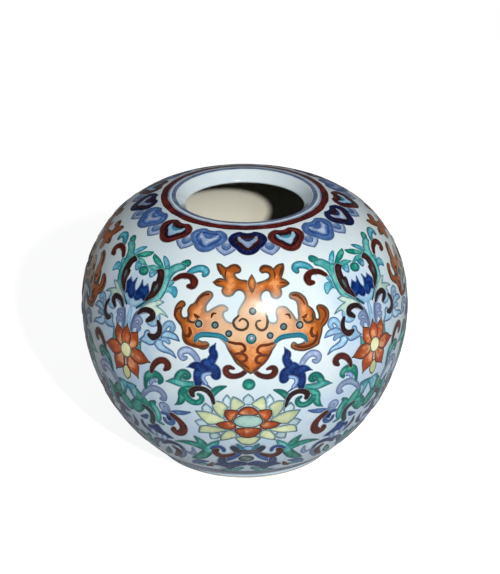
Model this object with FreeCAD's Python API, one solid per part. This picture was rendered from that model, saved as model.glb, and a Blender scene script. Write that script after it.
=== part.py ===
"""A globular porcelain water coupe for a writing desk, as the potter builds it.

The pot stands on +Z with its origin at the centre of the foot, in millimetres. One outline, drawn
in the plane of radius and height, runs under the base, round the foot, up the outside, over the
lip and down the inside to the middle of the floor. The clay is always on the left of that run, so
every layer below the glazed surface is the same outline sunk to the left by a named depth.
"""

import FreeCAD, Part
import math
import os

# Outside shape, measured on the glaze
BELLY_R = 50.0
BELLY_Z = 46.5
UPPER_ARC_R = 42.5
SHOULDER_ARC_R = 30.5
SHOULDER_RISE = 19.0

# Mouth: the crest turns over into a sloping lip, which ends in the round of the throat
THROAT_R = 17.8
LIP_SLOPE_DEG = 46.0
CREST_ROUND_R = 1.6
THROAT_ROUND_R = 0.6

# Wall and floor
WALL_T = 3.9
FLOOR_T = 4.0
FLOOR_ROUND_R = 16.0

# Foot, the step by which the body overhangs it, and the hollow under the base
FOOT_R = 28.7
FOOT_H = 2.6
FOOT_WIDTH = 3.8
FOOT_STEP = 1.25
FOOT_EDGE_ROUND_R = 0.7
FOOT_TOP_ROUND_R = 0.8
BODY_EDGE_ROUND_R = 0.6
RECESS_DEPTH = 3.2
RECESS_ROUND_R = 1.3

# Layers, the seams between the sections, and the slip that lutes them
GLAZE_T = 0.35
BARE_WALL_H = 0.2
SLIP_T = 0.25
FOOT_SEAM_DROP = 0.2
RIM_WIDTH = 9.2

PARTS_FOLDER = "parts"


class Line:
    """A straight run from start to end, each a (radius, height) pair."""

    def __init__(self, start, end):
        self.start = start
        self.end = end

    def sunk(self, depth):
        length = math.dist(self.start, self.end)
        left_r = -(self.end[1] - self.start[1]) / length * depth
        left_z = (self.end[0] - self.start[0]) / length * depth
        return Line(
            (self.start[0] + left_r, self.start[1] + left_z),
            (self.end[0] + left_r, self.end[1] + left_z),
        )

    def reversed(self):
        return Line(self.end, self.start)

    def edge(self):
        return Part.LineSegment(point(self.start), point(self.end)).toShape()


class Arc:
    """A round run about a centre, from one angle to another in radians."""

    def __init__(self, centre, radius, start_angle, end_angle):
        self.centre = centre
        self.radius = radius
        self.start_angle = start_angle
        self.end_angle = end_angle
        self.start = self.at(start_angle)
        self.end = self.at(end_angle)

    def at(self, angle):
        return (
            self.centre[0] + self.radius * math.cos(angle),
            self.centre[1] + self.radius * math.sin(angle),
        )

    def sunk(self, depth):
        turns_left = self.end_angle > self.start_angle
        radius = self.radius - depth if turns_left else self.radius + depth
        return Arc(self.centre, radius, self.start_angle, self.end_angle)

    def reversed(self):
        return Arc(self.centre, self.radius, self.end_angle, self.start_angle)

    def edge(self):
        middle = self.at((self.start_angle + self.end_angle) / 2)
        return Part.Arc(point(self.start), point(middle), point(self.end)).toShape()


def point(place):
    """A (radius, height) pair as a point of the XZ plane."""
    return FreeCAD.Vector(place[0], 0, place[1])


def angle_to(centre, place):
    """The angle in radians at which a place is seen from a centre."""
    return math.atan2(place[1] - centre[1], place[0] - centre[0])


def round_centre(line_place, line_angle, offset, centre, reach):
    """Centre of a round that lies offset to the left of a line and reach away from a centre.

    Of the two such places this is the one further along the line.
    """
    along = (math.cos(line_angle), math.sin(line_angle))
    left = (-along[1], along[0])
    shifted = (line_place[0] + left[0] * offset, line_place[1] + left[1] * offset)
    from_centre = (shifted[0] - centre[0], shifted[1] - centre[1])
    half = from_centre[0] * along[0] + from_centre[1] * along[1]
    gap = from_centre[0] ** 2 + from_centre[1] ** 2 - reach**2
    step = -half + math.sqrt(half**2 - gap)
    return (shifted[0] + along[0] * step, shifted[1] + along[1] * step)


# The body's rounded lower edge, and the arc that runs up from it to an upright belly
BODY_EDGE_R = FOOT_R + FOOT_STEP
BODY_EDGE_Z = FOOT_H + BODY_EDGE_ROUND_R
BELLY_REACH = BELLY_R - BODY_EDGE_R
BELLY_RISE = BELLY_Z - BODY_EDGE_Z
LOWER_ARC_R = (BELLY_REACH**2 + BELLY_RISE**2 - BODY_EDGE_ROUND_R**2) / (
    2 * (BELLY_REACH - BODY_EDGE_ROUND_R)
)

# Centres of the three outside arcs, each tangent to the next
LOWER_CENTRE = (BELLY_R - LOWER_ARC_R, BELLY_Z)
UPPER_CENTRE = (BELLY_R - UPPER_ARC_R, BELLY_Z)
SHOULDER_ANGLE = math.asin(SHOULDER_RISE / UPPER_ARC_R)
SHOULDER_CENTRE = (
    UPPER_CENTRE[0] + (UPPER_ARC_R - SHOULDER_ARC_R) * math.cos(SHOULDER_ANGLE),
    UPPER_CENTRE[1] + (UPPER_ARC_R - SHOULDER_ARC_R) * math.sin(SHOULDER_ANGLE),
)

# The throat's round, which touches the ceiling's arc, and the end of the lip on that round
LIP_ANGLE = math.radians(LIP_SLOPE_DEG)
LIP_OUT = (math.cos(LIP_ANGLE + math.pi / 2), math.sin(LIP_ANGLE + math.pi / 2))
THROAT_CENTRE_R = THROAT_R + THROAT_ROUND_R
THROAT_REACH = SHOULDER_ARC_R - WALL_T + THROAT_ROUND_R
THROAT_CENTRE = (
    THROAT_CENTRE_R,
    SHOULDER_CENTRE[1]
    + math.sqrt(THROAT_REACH**2 - (THROAT_CENTRE_R - SHOULDER_CENTRE[0]) ** 2),
)
LIP_END = (
    THROAT_CENTRE[0] + LIP_OUT[0] * THROAT_ROUND_R,
    THROAT_CENTRE[1] + LIP_OUT[1] * THROAT_ROUND_R,
)

# The inside of the foot
FOOT_INNER_R = FOOT_R - FOOT_WIDTH
BARE_FOOT_Z = FOOT_EDGE_ROUND_R + BARE_WALL_H


def foot_runs(side):
    """The foot from the middle of the base to its outer wall, with its sides sunk by side."""
    recess_z = RECESS_DEPTH + side
    inner_r = FOOT_INNER_R + side
    outer_r = FOOT_R - side
    recess_round = RECESS_ROUND_R + side
    recess_centre = (inner_r - recess_round, recess_z - recess_round)
    inner_edge = (inner_r + FOOT_EDGE_ROUND_R, FOOT_EDGE_ROUND_R)
    outer_edge = (outer_r - FOOT_EDGE_ROUND_R, FOOT_EDGE_ROUND_R)
    return [
        Line((0.0, recess_z), (recess_centre[0], recess_z)),
        Arc(recess_centre, recess_round, math.pi / 2, 0.0),
        Line((inner_r, recess_centre[1]), (inner_r, inner_edge[1])),
        Arc(inner_edge, FOOT_EDGE_ROUND_R, math.pi, 1.5 * math.pi),
        Line((inner_edge[0], 0.0), (outer_edge[0], 0.0)),
        Arc(outer_edge, FOOT_EDGE_ROUND_R, -math.pi / 2, 0.0),
    ]


def outside_runs():
    """The glazed outside, from the foot's outer wall up to the start of the lip."""
    top_centre = (FOOT_R + FOOT_TOP_ROUND_R, FOOT_H - FOOT_TOP_ROUND_R)
    edge_centre = (BODY_EDGE_R, BODY_EDGE_Z)
    edge_angle = angle_to(LOWER_CENTRE, edge_centre)
    crest_centre = crest_round_centre()
    crest_angle = angle_to(SHOULDER_CENTRE, crest_centre)
    return [
        Line((FOOT_R, BARE_FOOT_Z), (FOOT_R, top_centre[1])),
        Arc(top_centre, FOOT_TOP_ROUND_R, math.pi, math.pi / 2),
        Line((top_centre[0], FOOT_H), (BODY_EDGE_R, FOOT_H)),
        Arc(edge_centre, BODY_EDGE_ROUND_R, -math.pi / 2, edge_angle),
        Arc(LOWER_CENTRE, LOWER_ARC_R, edge_angle, 0.0),
        Arc(UPPER_CENTRE, UPPER_ARC_R, 0.0, SHOULDER_ANGLE),
        Arc(SHOULDER_CENTRE, SHOULDER_ARC_R, SHOULDER_ANGLE, crest_angle),
        Arc(crest_centre, CREST_ROUND_R, crest_angle, LIP_ANGLE + math.pi / 2),
    ]


def crest_round_centre():
    """Centre of the round that blends the shoulder's arc into the sloping lip."""
    reach = SHOULDER_ARC_R - CREST_ROUND_R
    return round_centre(LIP_END, LIP_ANGLE, -CREST_ROUND_R, SHOULDER_CENTRE, reach)


def lip_runs():
    """The sloping lip and the round of the throat that turns it under."""
    crest_centre = crest_round_centre()
    lip_top = (
        crest_centre[0] + LIP_OUT[0] * CREST_ROUND_R,
        crest_centre[1] + LIP_OUT[1] * CREST_ROUND_R,
    )
    under_angle = angle_to(THROAT_CENTRE, SHOULDER_CENTRE) + 2 * math.pi
    return [
        Line(lip_top, LIP_END),
        Arc(THROAT_CENTRE, THROAT_ROUND_R, LIP_ANGLE + math.pi / 2, under_angle),
    ]


def inside_runs():
    """The glazed inside, from the throat down to the middle of the floor."""
    inner_lower_r = LOWER_ARC_R - WALL_T
    floor_z = RECESS_DEPTH + FLOOR_T
    round_z = floor_z + FLOOR_ROUND_R
    reach = inner_lower_r - FLOOR_ROUND_R
    round_r = LOWER_CENTRE[0] + math.sqrt(reach**2 - (round_z - LOWER_CENTRE[1]) ** 2)
    floor_centre = (round_r, round_z)
    floor_angle = angle_to(LOWER_CENTRE, floor_centre)
    ceiling_angle = angle_to(SHOULDER_CENTRE, THROAT_CENTRE)
    return [
        Arc(SHOULDER_CENTRE, SHOULDER_ARC_R - WALL_T, ceiling_angle, SHOULDER_ANGLE),
        Arc(UPPER_CENTRE, UPPER_ARC_R - WALL_T, SHOULDER_ANGLE, 0.0),
        Arc(LOWER_CENTRE, inner_lower_r, 0.0, floor_angle),
        Arc(floor_centre, FLOOR_ROUND_R, floor_angle, -math.pi / 2),
        Line((round_r, floor_z), (0.0, floor_z)),
    ]


def sunk(runs, depth):
    """The same runs, each moved into the clay by a depth."""
    return [run.sunk(depth) for run in runs]


def backwards(runs):
    """The same runs followed from the last one's end to the first one's start."""
    return [run.reversed() for run in reversed(runs)]


def revolved(runs):
    """A solid of revolution from runs that follow one another, closed by straight edges."""
    edges = []
    for run, following in zip(runs, runs[1:] + runs[:1]):
        edges.append(run.edge())
        if math.dist(run.end, following.start) > 1e-6:
            edges.append(Line(run.end, following.start).edge())
    face = Part.Face(Part.Wire(edges))
    axis_foot = FreeCAD.Vector(0, 0, 0)
    return face.revolve(axis_foot, FreeCAD.Vector(0, 0, 1), 360)


def skin(runs):
    """The layer of glaze that lies on the clay along some runs of the glazed outline."""
    return revolved(runs + backwards(sunk(runs, GLAZE_T)))


def clay_body():
    """All of the clay as one solid, before it is parted into the potter's sections."""
    outside = sunk(outside_runs(), GLAZE_T)
    outside[0] = Line((FOOT_R - GLAZE_T, FOOT_EDGE_ROUND_R), outside[0].end)
    inside = sunk(lip_runs() + inside_runs(), GLAZE_T)
    return revolved(foot_runs(GLAZE_T) + outside + inside)


def slab(low_z, high_z):
    """A disc wider than the pot, between two heights."""
    return Part.makeCylinder(2 * BELLY_R, high_z - low_z, FreeCAD.Vector(0, 0, low_z))


def core(radius):
    """A cylinder about the axis that reaches from the belly to above the mouth."""
    return Part.makeCylinder(radius, 2 * BELLY_Z, FreeCAD.Vector(0, 0, BELLY_Z))


def clay_sections():
    """The sections that are made apart, and the slip in each seam that lutes them."""
    clay = clay_body()
    above_pot = 2 * BELLY_Z
    half_slip = SLIP_T / 2
    upper = clay.common(slab(BELLY_Z + half_slip, above_pot))
    rim_seam_r = THROAT_R + RIM_WIDTH
    rim_core = core(rim_seam_r - half_slip)
    shoulder_core = core(rim_seam_r + half_slip)
    foot_seam_z = FOOT_H - FOOT_SEAM_DROP
    return {
        "foot_ring": clay.common(slab(0.0, foot_seam_z - half_slip)),
        "foot_luting": clay.common(slab(foot_seam_z - half_slip, foot_seam_z + half_slip)),
        "lower_body": clay.common(slab(foot_seam_z + half_slip, BELLY_Z - half_slip)),
        "belly_luting": clay.common(slab(BELLY_Z - half_slip, BELLY_Z + half_slip)),
        "upper_body": upper.cut(shoulder_core),
        "rim_luting": upper.common(shoulder_core).cut(rim_core),
        "mouth_rim": upper.common(rim_core),
    }


def glaze_layers():
    """The glaze outside with the lip, the lining inside, and the glaze under the base."""
    base_runs = foot_runs(0.0)[:3]
    base_runs[2] = Line(base_runs[2].start, (FOOT_INNER_R, BARE_FOOT_Z))
    return {
        "exterior_glaze": skin(outside_runs() + lip_runs()),
        "interior_glaze": skin(inside_runs()),
        "base_glaze": skin(base_runs),
    }


def main():
    """Build every node, test that it is a sound solid, and write it."""
    os.makedirs(PARTS_FOLDER, exist_ok=True)
    nodes = {**clay_sections(), **glaze_layers()}
    for name, shape in nodes.items():
        solids = shape.Solids
        if not solids or not shape.isValid():
            raise ValueError(f"{name} isn't a valid solid")
        kept = solids[0] if len(solids) == 1 else Part.Compound(solids)
        kept.exportStep(os.path.join(PARTS_FOLDER, f"{name}.step"))
        print(f"{name}: {len(solids)} solid, {kept.Volume:.1f} mm3")


main()
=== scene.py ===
"""A small globular porcelain water pot, painted with bats, lotus scrolls and a collar of ruyi heads."""
import logging
import math
from dataclasses import dataclass
from enum import Enum
from typing import Callable, Iterable, Sequence

import bmesh
import bpy
import numpy as np
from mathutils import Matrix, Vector
from mathutils.geometry import delaunay_2d_cdt


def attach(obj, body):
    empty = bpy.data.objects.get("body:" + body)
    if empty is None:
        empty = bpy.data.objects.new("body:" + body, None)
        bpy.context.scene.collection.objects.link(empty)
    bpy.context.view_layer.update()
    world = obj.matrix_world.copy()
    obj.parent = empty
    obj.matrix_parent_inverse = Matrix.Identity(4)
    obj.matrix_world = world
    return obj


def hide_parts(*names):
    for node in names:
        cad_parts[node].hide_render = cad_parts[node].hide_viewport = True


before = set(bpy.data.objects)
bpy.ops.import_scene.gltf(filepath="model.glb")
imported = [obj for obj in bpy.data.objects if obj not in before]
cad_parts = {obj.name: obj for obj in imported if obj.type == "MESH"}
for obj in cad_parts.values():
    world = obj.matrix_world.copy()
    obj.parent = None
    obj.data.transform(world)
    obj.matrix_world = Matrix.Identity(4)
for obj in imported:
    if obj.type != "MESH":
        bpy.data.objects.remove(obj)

log = logging.getLogger("water_pot")

MM = 0.001
BODY = "root"
Rgb = tuple[int, int, int]
Place = tuple[float, ...]
Places = Sequence[Place]
Profile = list[tuple[float, float]]
PlaceMap = Callable[[np.ndarray, np.ndarray], tuple[np.ndarray, np.ndarray]]
WHITE = (1.0, 1.0, 1.0, 1.0)
PIT_COLOUR = (120, 130, 130)
USUAL_UNEVENNESS = 0.28


# Colour and node helpers


def linear(rgb: Rgb) -> tuple[float, float, float, float]:
    """Turn an eight-bit sRGB colour into the linear colour, with its alpha, that shaders take."""
    parts = []
    for level in rgb:
        share = level / 255
        parts.append(share / 12.92 if share <= 0.04045 else ((share + 0.055) / 1.055) ** 2.4)
    return (parts[0], parts[1], parts[2], 1.0)


class NodeSheet:
    """A node tree that is being filled, with short ways to add and join its nodes."""

    COLUMNS = 6
    GAP = (200, 260)

    def __init__(self, tree: bpy.types.NodeTree) -> None:
        """Keep the tree to fill."""
        self.tree = tree
        self.count = 0

    def add(self, kind: str, **settings: object) -> bpy.types.Node:
        """Add a node.

        Args:
            kind: The node's type name.
            **settings: Attributes to set on the node.

        Returns:
            The new node.
        """
        node = self.tree.nodes.new(kind)
        row, column = divmod(self.count, self.COLUMNS)
        node.location = (column * self.GAP[0], -row * self.GAP[1])
        self.count += 1
        for name, value in settings.items():
            setattr(node, name, value)
        return node

    def feed(self, socket: bpy.types.NodeSocket, source: object) -> None:
        """Feed a socket from another socket, or set it to a plain value."""
        if isinstance(source, bpy.types.NodeSocket):
            self.tree.links.new(source, socket)
        else:
            socket.default_value = source

    @staticmethod
    def preset(node: bpy.types.Node, values: dict[str, object]) -> None:
        """Set some of a node's inputs to plain values."""
        for label, value in values.items():
            node.inputs[label].default_value = value

    def mix(self, share: object, first: object, second: object, blend: str = "MIX") -> bpy.types.NodeSocket:
        """Mix two colours.

        Args:
            share: How much of the second colour, a number or a socket.
            first: The first colour, or a socket.
            second: The second colour, or a socket.
            blend: Blend mode of the mix.

        Returns:
            The mixed colour's socket.
        """
        node = self.add("ShaderNodeMix", data_type="RGBA", blend_type=blend)
        self.feed(node.inputs["Factor"], share)
        self.feed(node.inputs[6], first)
        self.feed(node.inputs[7], second)
        return node.outputs[2]

    def math(self, operation: str, first: object, second: object = 0.0) -> bpy.types.NodeSocket:
        """Put two numbers or sockets through one operation, kept between 0 and 1.

        Args:
            operation: The Math node's operation.
            first: The first value.
            second: The second value.

        Returns:
            The result's socket.
        """
        node = self.add("ShaderNodeMath", operation=operation, use_clamp=True)
        self.feed(node.inputs[0], first)
        self.feed(node.inputs[1], second)
        return node.outputs[0]

    def spread(
        self, value: object, low: float, high: float, to_low: float = 0.0, to_high: float = 1.0
    ) -> bpy.types.NodeSocket:
        """Stretch a value from one range to another.

        Args:
            value: The value's socket.
            low: Start of the range that it comes in.
            high: End of that range.
            to_low: Start of the range that it leaves in.
            to_high: End of that range.

        Returns:
            The stretched value's socket.
        """
        node = self.add("ShaderNodeMapRange", clamp=True, interpolation_type="SMOOTHSTEP")
        self.feed(node.inputs["Value"], value)
        self.preset(node, {"From Min": low, "From Max": high, "To Min": to_low, "To Max": to_high})
        return node.outputs["Result"]

    def noise(self, scale: float, detail: float = 3.0, roughness: float = 0.55) -> bpy.types.NodeSocket:
        """Add a noise over the object's own coordinates.

        Args:
            scale: Noise cells to a metre.
            detail: Octaves of the noise.
            roughness: How much the finer octaves count.

        Returns:
            The noise's value socket.
        """
        place = self.add("ShaderNodeTexCoord")
        node = self.add("ShaderNodeTexNoise")
        self.feed(node.inputs["Vector"], place.outputs["Object"])
        self.preset(node, {"Scale": scale, "Detail": detail, "Roughness": roughness})
        return node.outputs["Fac"]

    def dent(self, shader: bpy.types.Node, height: object, strength: float, depth: float) -> None:
        """Dent a shader's surface by a height.

        Args:
            shader: The Principled node.
            height: The height's socket.
            strength: How much the dents count.
            depth: How deep they are, in millimetres.
        """
        bump = self.add("ShaderNodeBump")
        self.preset(bump, {"Strength": strength, "Distance": depth * MM})
        self.feed(bump.inputs["Height"], height)
        self.feed(shader.inputs["Normal"], bump.outputs["Normal"])


def open_group(name: str, takes: dict[str, object]) -> tuple[NodeSheet, bpy.types.Node, bpy.types.Node]:
    """Start a shader node group that puts out a colour, a roughness and a height.

    Args:
        name: The group's name.
        takes: Input names with their default colour or number.

    Returns:
        The sheet to fill, the group's input node and its output node.
    """
    tree = bpy.data.node_groups.new(name, "ShaderNodeTree")
    for label, default in takes.items():
        kind = "NodeSocketColor" if isinstance(default, tuple) else "NodeSocketFloat"
        socket = tree.interface.new_socket(name=label, in_out="INPUT", socket_type=kind)
        socket.default_value = default
    for label, kind in (("Color", "Color"), ("Roughness", "Float"), ("Height", "Float")):
        tree.interface.new_socket(name=label, in_out="OUTPUT", socket_type=f"NodeSocket{kind}")
    sheet = NodeSheet(tree)
    return sheet, sheet.add("NodeGroupInput"), sheet.add("NodeGroupOutput")


def open_material(name: str) -> tuple[bpy.types.Material, NodeSheet, bpy.types.Node]:
    """Start a material.

    Args:
        name: The material's name.

    Returns:
        The material, the sheet to fill and the Principled node.
    """
    made = bpy.data.materials.new(name)
    made.use_nodes = True
    return made, NodeSheet(made.node_tree), made.node_tree.nodes["Principled BSDF"]


def wash_group() -> bpy.types.NodeTree:
    """Build or fetch the group that gives brushed enamel its uneven wash."""
    name = "brushed_wash"
    if name in bpy.data.node_groups:
        return bpy.data.node_groups[name]
    colours = dict.fromkeys(("Thin", "Pale", "Body", "Deep"), WHITE)
    sheet, given, out = open_group(name, {**colours, "Tone": 0.5, "Thinness": 0.0, "Shift": 0.5})
    pool = sheet.noise(scale=900.0, detail=3.0, roughness=0.6)
    drift = sheet.noise(scale=330.0, detail=1.0, roughness=0.5)
    streak = sheet.noise(scale=2600.0, detail=2.0, roughness=0.5)
    pooled = sheet.spread(pool, 0.35, 0.66, to_high=0.3)
    drifted = sheet.spread(drift, 0.36, 0.64, to_high=0.34)
    toned = sheet.math("ADD", given.outputs["Tone"], sheet.math("ADD", pooled, drifted))
    toned = sheet.math("SUBTRACT", toned, USUAL_UNEVENNESS)
    lit = sheet.mix(sheet.spread(toned, 0.0, 0.5), given.outputs["Pale"], given.outputs["Body"])
    dark = sheet.mix(sheet.spread(toned, 0.48, 0.98), lit, given.outputs["Deep"])
    thinned = sheet.mix(given.outputs["Thinness"], dark, given.outputs["Thin"])
    shade = sheet.spread(given.outputs["Shift"], 0.0, 1.0, to_low=0.86, to_high=1.12)
    grey = sheet.add("ShaderNodeCombineColor")
    for index in range(3):
        sheet.feed(grey.inputs[index], shade)
    shifted_wash = sheet.mix(1.0, thinned, grey.outputs[0], "MULTIPLY")
    freckle = sheet.spread(streak, 0.6, 0.78, to_high=0.1)
    sheet.feed(out.inputs["Color"], sheet.mix(freckle, shifted_wash, given.outputs["Thin"]))
    sheet.feed(out.inputs["Roughness"], sheet.spread(pool, 0.3, 0.7, to_low=0.16, to_high=0.3))
    height = sheet.math("ADD", sheet.math("MULTIPLY", pool, 0.6), sheet.math("MULTIPLY", streak, 0.4))
    sheet.feed(out.inputs["Height"], height)
    return sheet.tree


def glaze_group() -> bpy.types.NodeTree:
    """Build or fetch the group that gives fired glaze its clouding, pinholes and soft waves."""
    name = "fired_glaze"
    if name in bpy.data.node_groups:
        return bpy.data.node_groups[name]
    sheet, given, out = open_group(name, {"Clear": WHITE, "Cloud": WHITE, "Bloom": WHITE, "Pooled": 0.0})
    drift = sheet.noise(scale=70.0)
    clouded = sheet.mix(sheet.spread(drift, 0.4, 0.7), given.outputs["Clear"], given.outputs["Cloud"])
    patches = sheet.spread(sheet.noise(scale=260.0), 0.3, 0.62, to_low=0.45)
    bloom = sheet.math("MULTIPLY", given.outputs["Pooled"], patches)
    bloomed = sheet.mix(bloom, clouded, given.outputs["Bloom"])
    pits = sheet.spread(sheet.noise(scale=3200.0, detail=1.0), 0.74, 0.8)
    pitted = sheet.mix(sheet.math("MULTIPLY", pits, 0.3), bloomed, linear(PIT_COLOUR))
    sheet.feed(out.inputs["Color"], pitted)
    sheet.feed(out.inputs["Roughness"], sheet.spread(drift, 0.3, 0.7, to_low=0.1, to_high=0.17))
    waves = sheet.math("MULTIPLY", sheet.noise(scale=190.0, detail=2.0), 0.9)
    sheet.feed(out.inputs["Height"], sheet.math("SUBTRACT", waves, sheet.math("MULTIPLY", pits, 0.12)))
    return sheet.tree


# Finishes


@dataclass(frozen=True)
class Enamel:
    """A brushed enamel: thin where the brush ran dry, pale inside a stroke, deep at its edges and tips."""

    name: str
    pale: Rgb
    body: Rgb
    deep: Rgb
    thin: Rgb = (214, 224, 226)

    def material(self) -> bpy.types.Material:
        """Build or fetch this enamel's material."""
        if self.name in bpy.data.materials:
            return bpy.data.materials[self.name]
        made, sheet, shader = open_material(self.name)
        wash = sheet.add("ShaderNodeGroup", node_tree=wash_group())
        brushed = sheet.add("ShaderNodeAttribute", attribute_name="wash")
        parts = sheet.add("ShaderNodeSeparateColor")
        sheet.feed(parts.inputs[0], brushed.outputs["Color"])
        for index, label in enumerate(("Tone", "Thinness", "Shift")):
            sheet.feed(wash.inputs[label], parts.outputs[index])
        for label in ("thin", "pale", "body", "deep"):
            wash.inputs[label.capitalize()].default_value = linear(getattr(self, label))
        sheet.feed(shader.inputs["Base Color"], wash.outputs["Color"])
        sheet.feed(shader.inputs["Roughness"], wash.outputs["Roughness"])
        sheet.dent(shader, wash.outputs["Height"], strength=0.25, depth=0.04)
        sheet.preset(shader, {"IOR": 1.45, "Specular IOR Level": 0.32})
        return made


class Paint(Enum):
    """The enamels on the painter's palette, each with the line that is drawn round it."""

    # The orange's thin colour is the pale tan over the bat's shoulders, partly a thinner enamel and partly a
    # painted glow round the lamp's highlight
    ORANGE = Enamel("iron_orange", (222, 150, 90), (190, 104, 40), (104, 40, 12), (226, 196, 160))
    PETAL = Enamel("petal_red", (232, 166, 122), (184, 86, 40), (96, 32, 12))
    BROWN = Enamel("iron_brown", (110, 38, 24), (80, 26, 20), (40, 14, 14))
    UMBER = Enamel("umber", (160, 88, 44), (118, 56, 22), (66, 28, 12))
    DARK = Enamel("iron_dark", (84, 44, 40), (46, 28, 30), (26, 16, 20))
    RED = Enamel("iron_red", (118, 42, 30), (86, 26, 24), (48, 16, 20))
    GREEN = Enamel("leaf_green", (80, 168, 150), (20, 122, 108), (4, 80, 80))
    MINT = Enamel("mint_green", (124, 196, 190), (70, 164, 160), (16, 104, 110))
    TURQUOISE = Enamel("turquoise", (120, 186, 204), (56, 142, 162), (24, 92, 118))
    COBALT = Enamel("cobalt", (26, 68, 132), (2, 32, 94), (0, 14, 60))
    NAVY = Enamel("navy", (30, 52, 110), (8, 22, 72), (4, 10, 44))
    MAROON = Enamel("maroon", (72, 26, 24), (44, 16, 20), (26, 12, 18))
    HAZE = Enamel("haze_blue", (104, 136, 184), (70, 102, 150), (44, 70, 124))
    BLUE = Enamel("mid_blue", (104, 140, 200), (58, 94, 160), (24, 50, 112))
    SKY = Enamel("sky_blue", (196, 216, 244), (164, 192, 230), (112, 146, 200))
    FROST = Enamel("frost_blue", (180, 212, 232), (148, 190, 216), (84, 132, 170))
    LILAC = Enamel("lilac", (178, 194, 216), (142, 162, 192), (92, 112, 152))
    YELLOW = Enamel("yellow_green", (218, 226, 184), (200, 212, 162), (140, 170, 150))
    SEED = Enamel("seed_green", (240, 242, 204), (228, 232, 180), (176, 188, 132))
    AQUA = Enamel("pale_aqua", (208, 228, 232), (186, 210, 218), (120, 156, 176))
    LEAF = Enamel("pale_leaf", (206, 226, 208), (180, 210, 196), (110, 158, 166))
    SLATE = Enamel("slate_blue", (130, 146, 172), (104, 122, 154), (70, 88, 124))
    POOL = Enamel("pool_green", (186, 222, 210), (170, 210, 198), (110, 160, 160))
    SPOT = Enamel("spot_grey", (134, 162, 160), (84, 114, 116), (50, 74, 82))
    INK = Enamel("ink_slate", (58, 76, 118), (40, 56, 100), (20, 30, 66))
    STONE = Enamel("stone_slate", (104, 116, 144), (84, 96, 124), (56, 68, 98))
    MOSS = Enamel("dark_moss", (80, 104, 100), (42, 62, 62), (20, 36, 40))
    CUP = Enamel("grey_cup", (92, 96, 100), (58, 58, 64), (30, 30, 38))
    BROWN_LINE = Enamel("brown_line", (132, 96, 72), (84, 48, 34), (40, 16, 12))
    OLIVE_LINE = Enamel("olive_line", (122, 110, 94), (96, 78, 60), (54, 40, 30))
    DARK_LINE = Enamel("dark_line", (72, 50, 44), (48, 30, 26), (26, 14, 14))
    TEAL_LINE = Enamel("teal_line", (64, 132, 136), (28, 96, 106), (0, 58, 74))
    BLUE_LINE = Enamel("blue_line", (104, 138, 180), (64, 100, 148), (30, 54, 104))
    LILAC_LINE = Enamel("lilac_line", (112, 130, 170), (84, 104, 148), (52, 70, 116))
    GREY_LINE = Enamel("grey_line", (132, 160, 170), (96, 128, 142), (58, 90, 112))

    @property
    def line(self) -> "Paint":
        """The line that goes round this enamel."""
        return LINES.get(self, Paint.BLUE_LINE)


LINES = {
    mark: line
    for line, marks in (
        (Paint.OLIVE_LINE, (Paint.ORANGE, Paint.SEED)),
        (Paint.DARK_LINE, (Paint.PETAL, Paint.DARK, Paint.SPOT)),
        (Paint.BROWN_LINE, (Paint.RED, Paint.BROWN)),
        (Paint.TEAL_LINE, (Paint.GREEN, Paint.MINT, Paint.TURQUOISE, Paint.MOSS)),
        (Paint.GREY_LINE, (Paint.YELLOW, Paint.LEAF, Paint.AQUA)),
        (Paint.LILAC_LINE, (Paint.LILAC,)),
        (Paint.NAVY, (Paint.NAVY,)),
        (Paint.DARK, (Paint.POOL,)),
        (Paint.SLATE, (Paint.INK,)),
    )
    for mark in marks
}


@dataclass(frozen=True)
class Glaze:
    """A fired glaze: its clear colour, its clouding, and the tint it takes where colour bled into it.

    A shade is the colour that light bouncing about in a deep hollow finds, so that the hollow stays dark.
    """

    name: str
    clear: Rgb
    cloud: Rgb
    bloom: Rgb
    shade: Rgb | None = None

    def material(self) -> bpy.types.Material:
        """Build this glaze's material."""
        made, sheet, shader = open_material(self.name)
        skin = sheet.add("ShaderNodeGroup", node_tree=glaze_group())
        for label in ("clear", "cloud", "bloom"):
            skin.inputs[label.capitalize()].default_value = linear(getattr(self, label))
        pooled = sheet.add("ShaderNodeAttribute", attribute_name="bloom")
        sheet.feed(skin.inputs["Pooled"], pooled.outputs["Fac"])
        colour = skin.outputs["Color"]
        if self.shade:
            path = sheet.add("ShaderNodeLightPath")
            colour = sheet.mix(path.outputs["Is Diffuse Ray"], colour, linear(self.shade))
        sheet.feed(shader.inputs["Base Color"], colour)
        sheet.feed(shader.inputs["Roughness"], skin.outputs["Roughness"])
        sheet.dent(shader, skin.outputs["Height"], strength=0.25, depth=0.12)
        sheet.preset(shader, {"IOR": 1.5, "Specular IOR Level": 0.36})
        return made


@dataclass(frozen=True)
class BareClay:
    """Unglazed clay: a matt body with grain, and a warm scorch where the fire reached it."""

    name: str
    body: Rgb
    grain: Rgb
    scorch: Rgb

    def material(self) -> bpy.types.Material:
        """Build the clay's material."""
        made, sheet, shader = open_material(self.name)
        fine = sheet.noise(scale=5200.0, detail=2.0)
        broad = sheet.noise(scale=240.0)
        grainy = sheet.spread(fine, 0.45, 0.75, to_high=0.7)
        grained = sheet.mix(grainy, linear(self.body), linear(self.grain))
        burnt = sheet.spread(broad, 0.55, 0.78, to_high=0.7)
        scorched = sheet.mix(burnt, grained, linear(self.scorch))
        sheet.feed(shader.inputs["Base Color"], scorched)
        sheet.feed(shader.inputs["Roughness"], sheet.spread(fine, 0.2, 0.8, to_low=0.62, to_high=0.86))
        sheet.dent(shader, fine, strength=0.5, depth=0.05)
        return made


# The pot's outline


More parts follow.
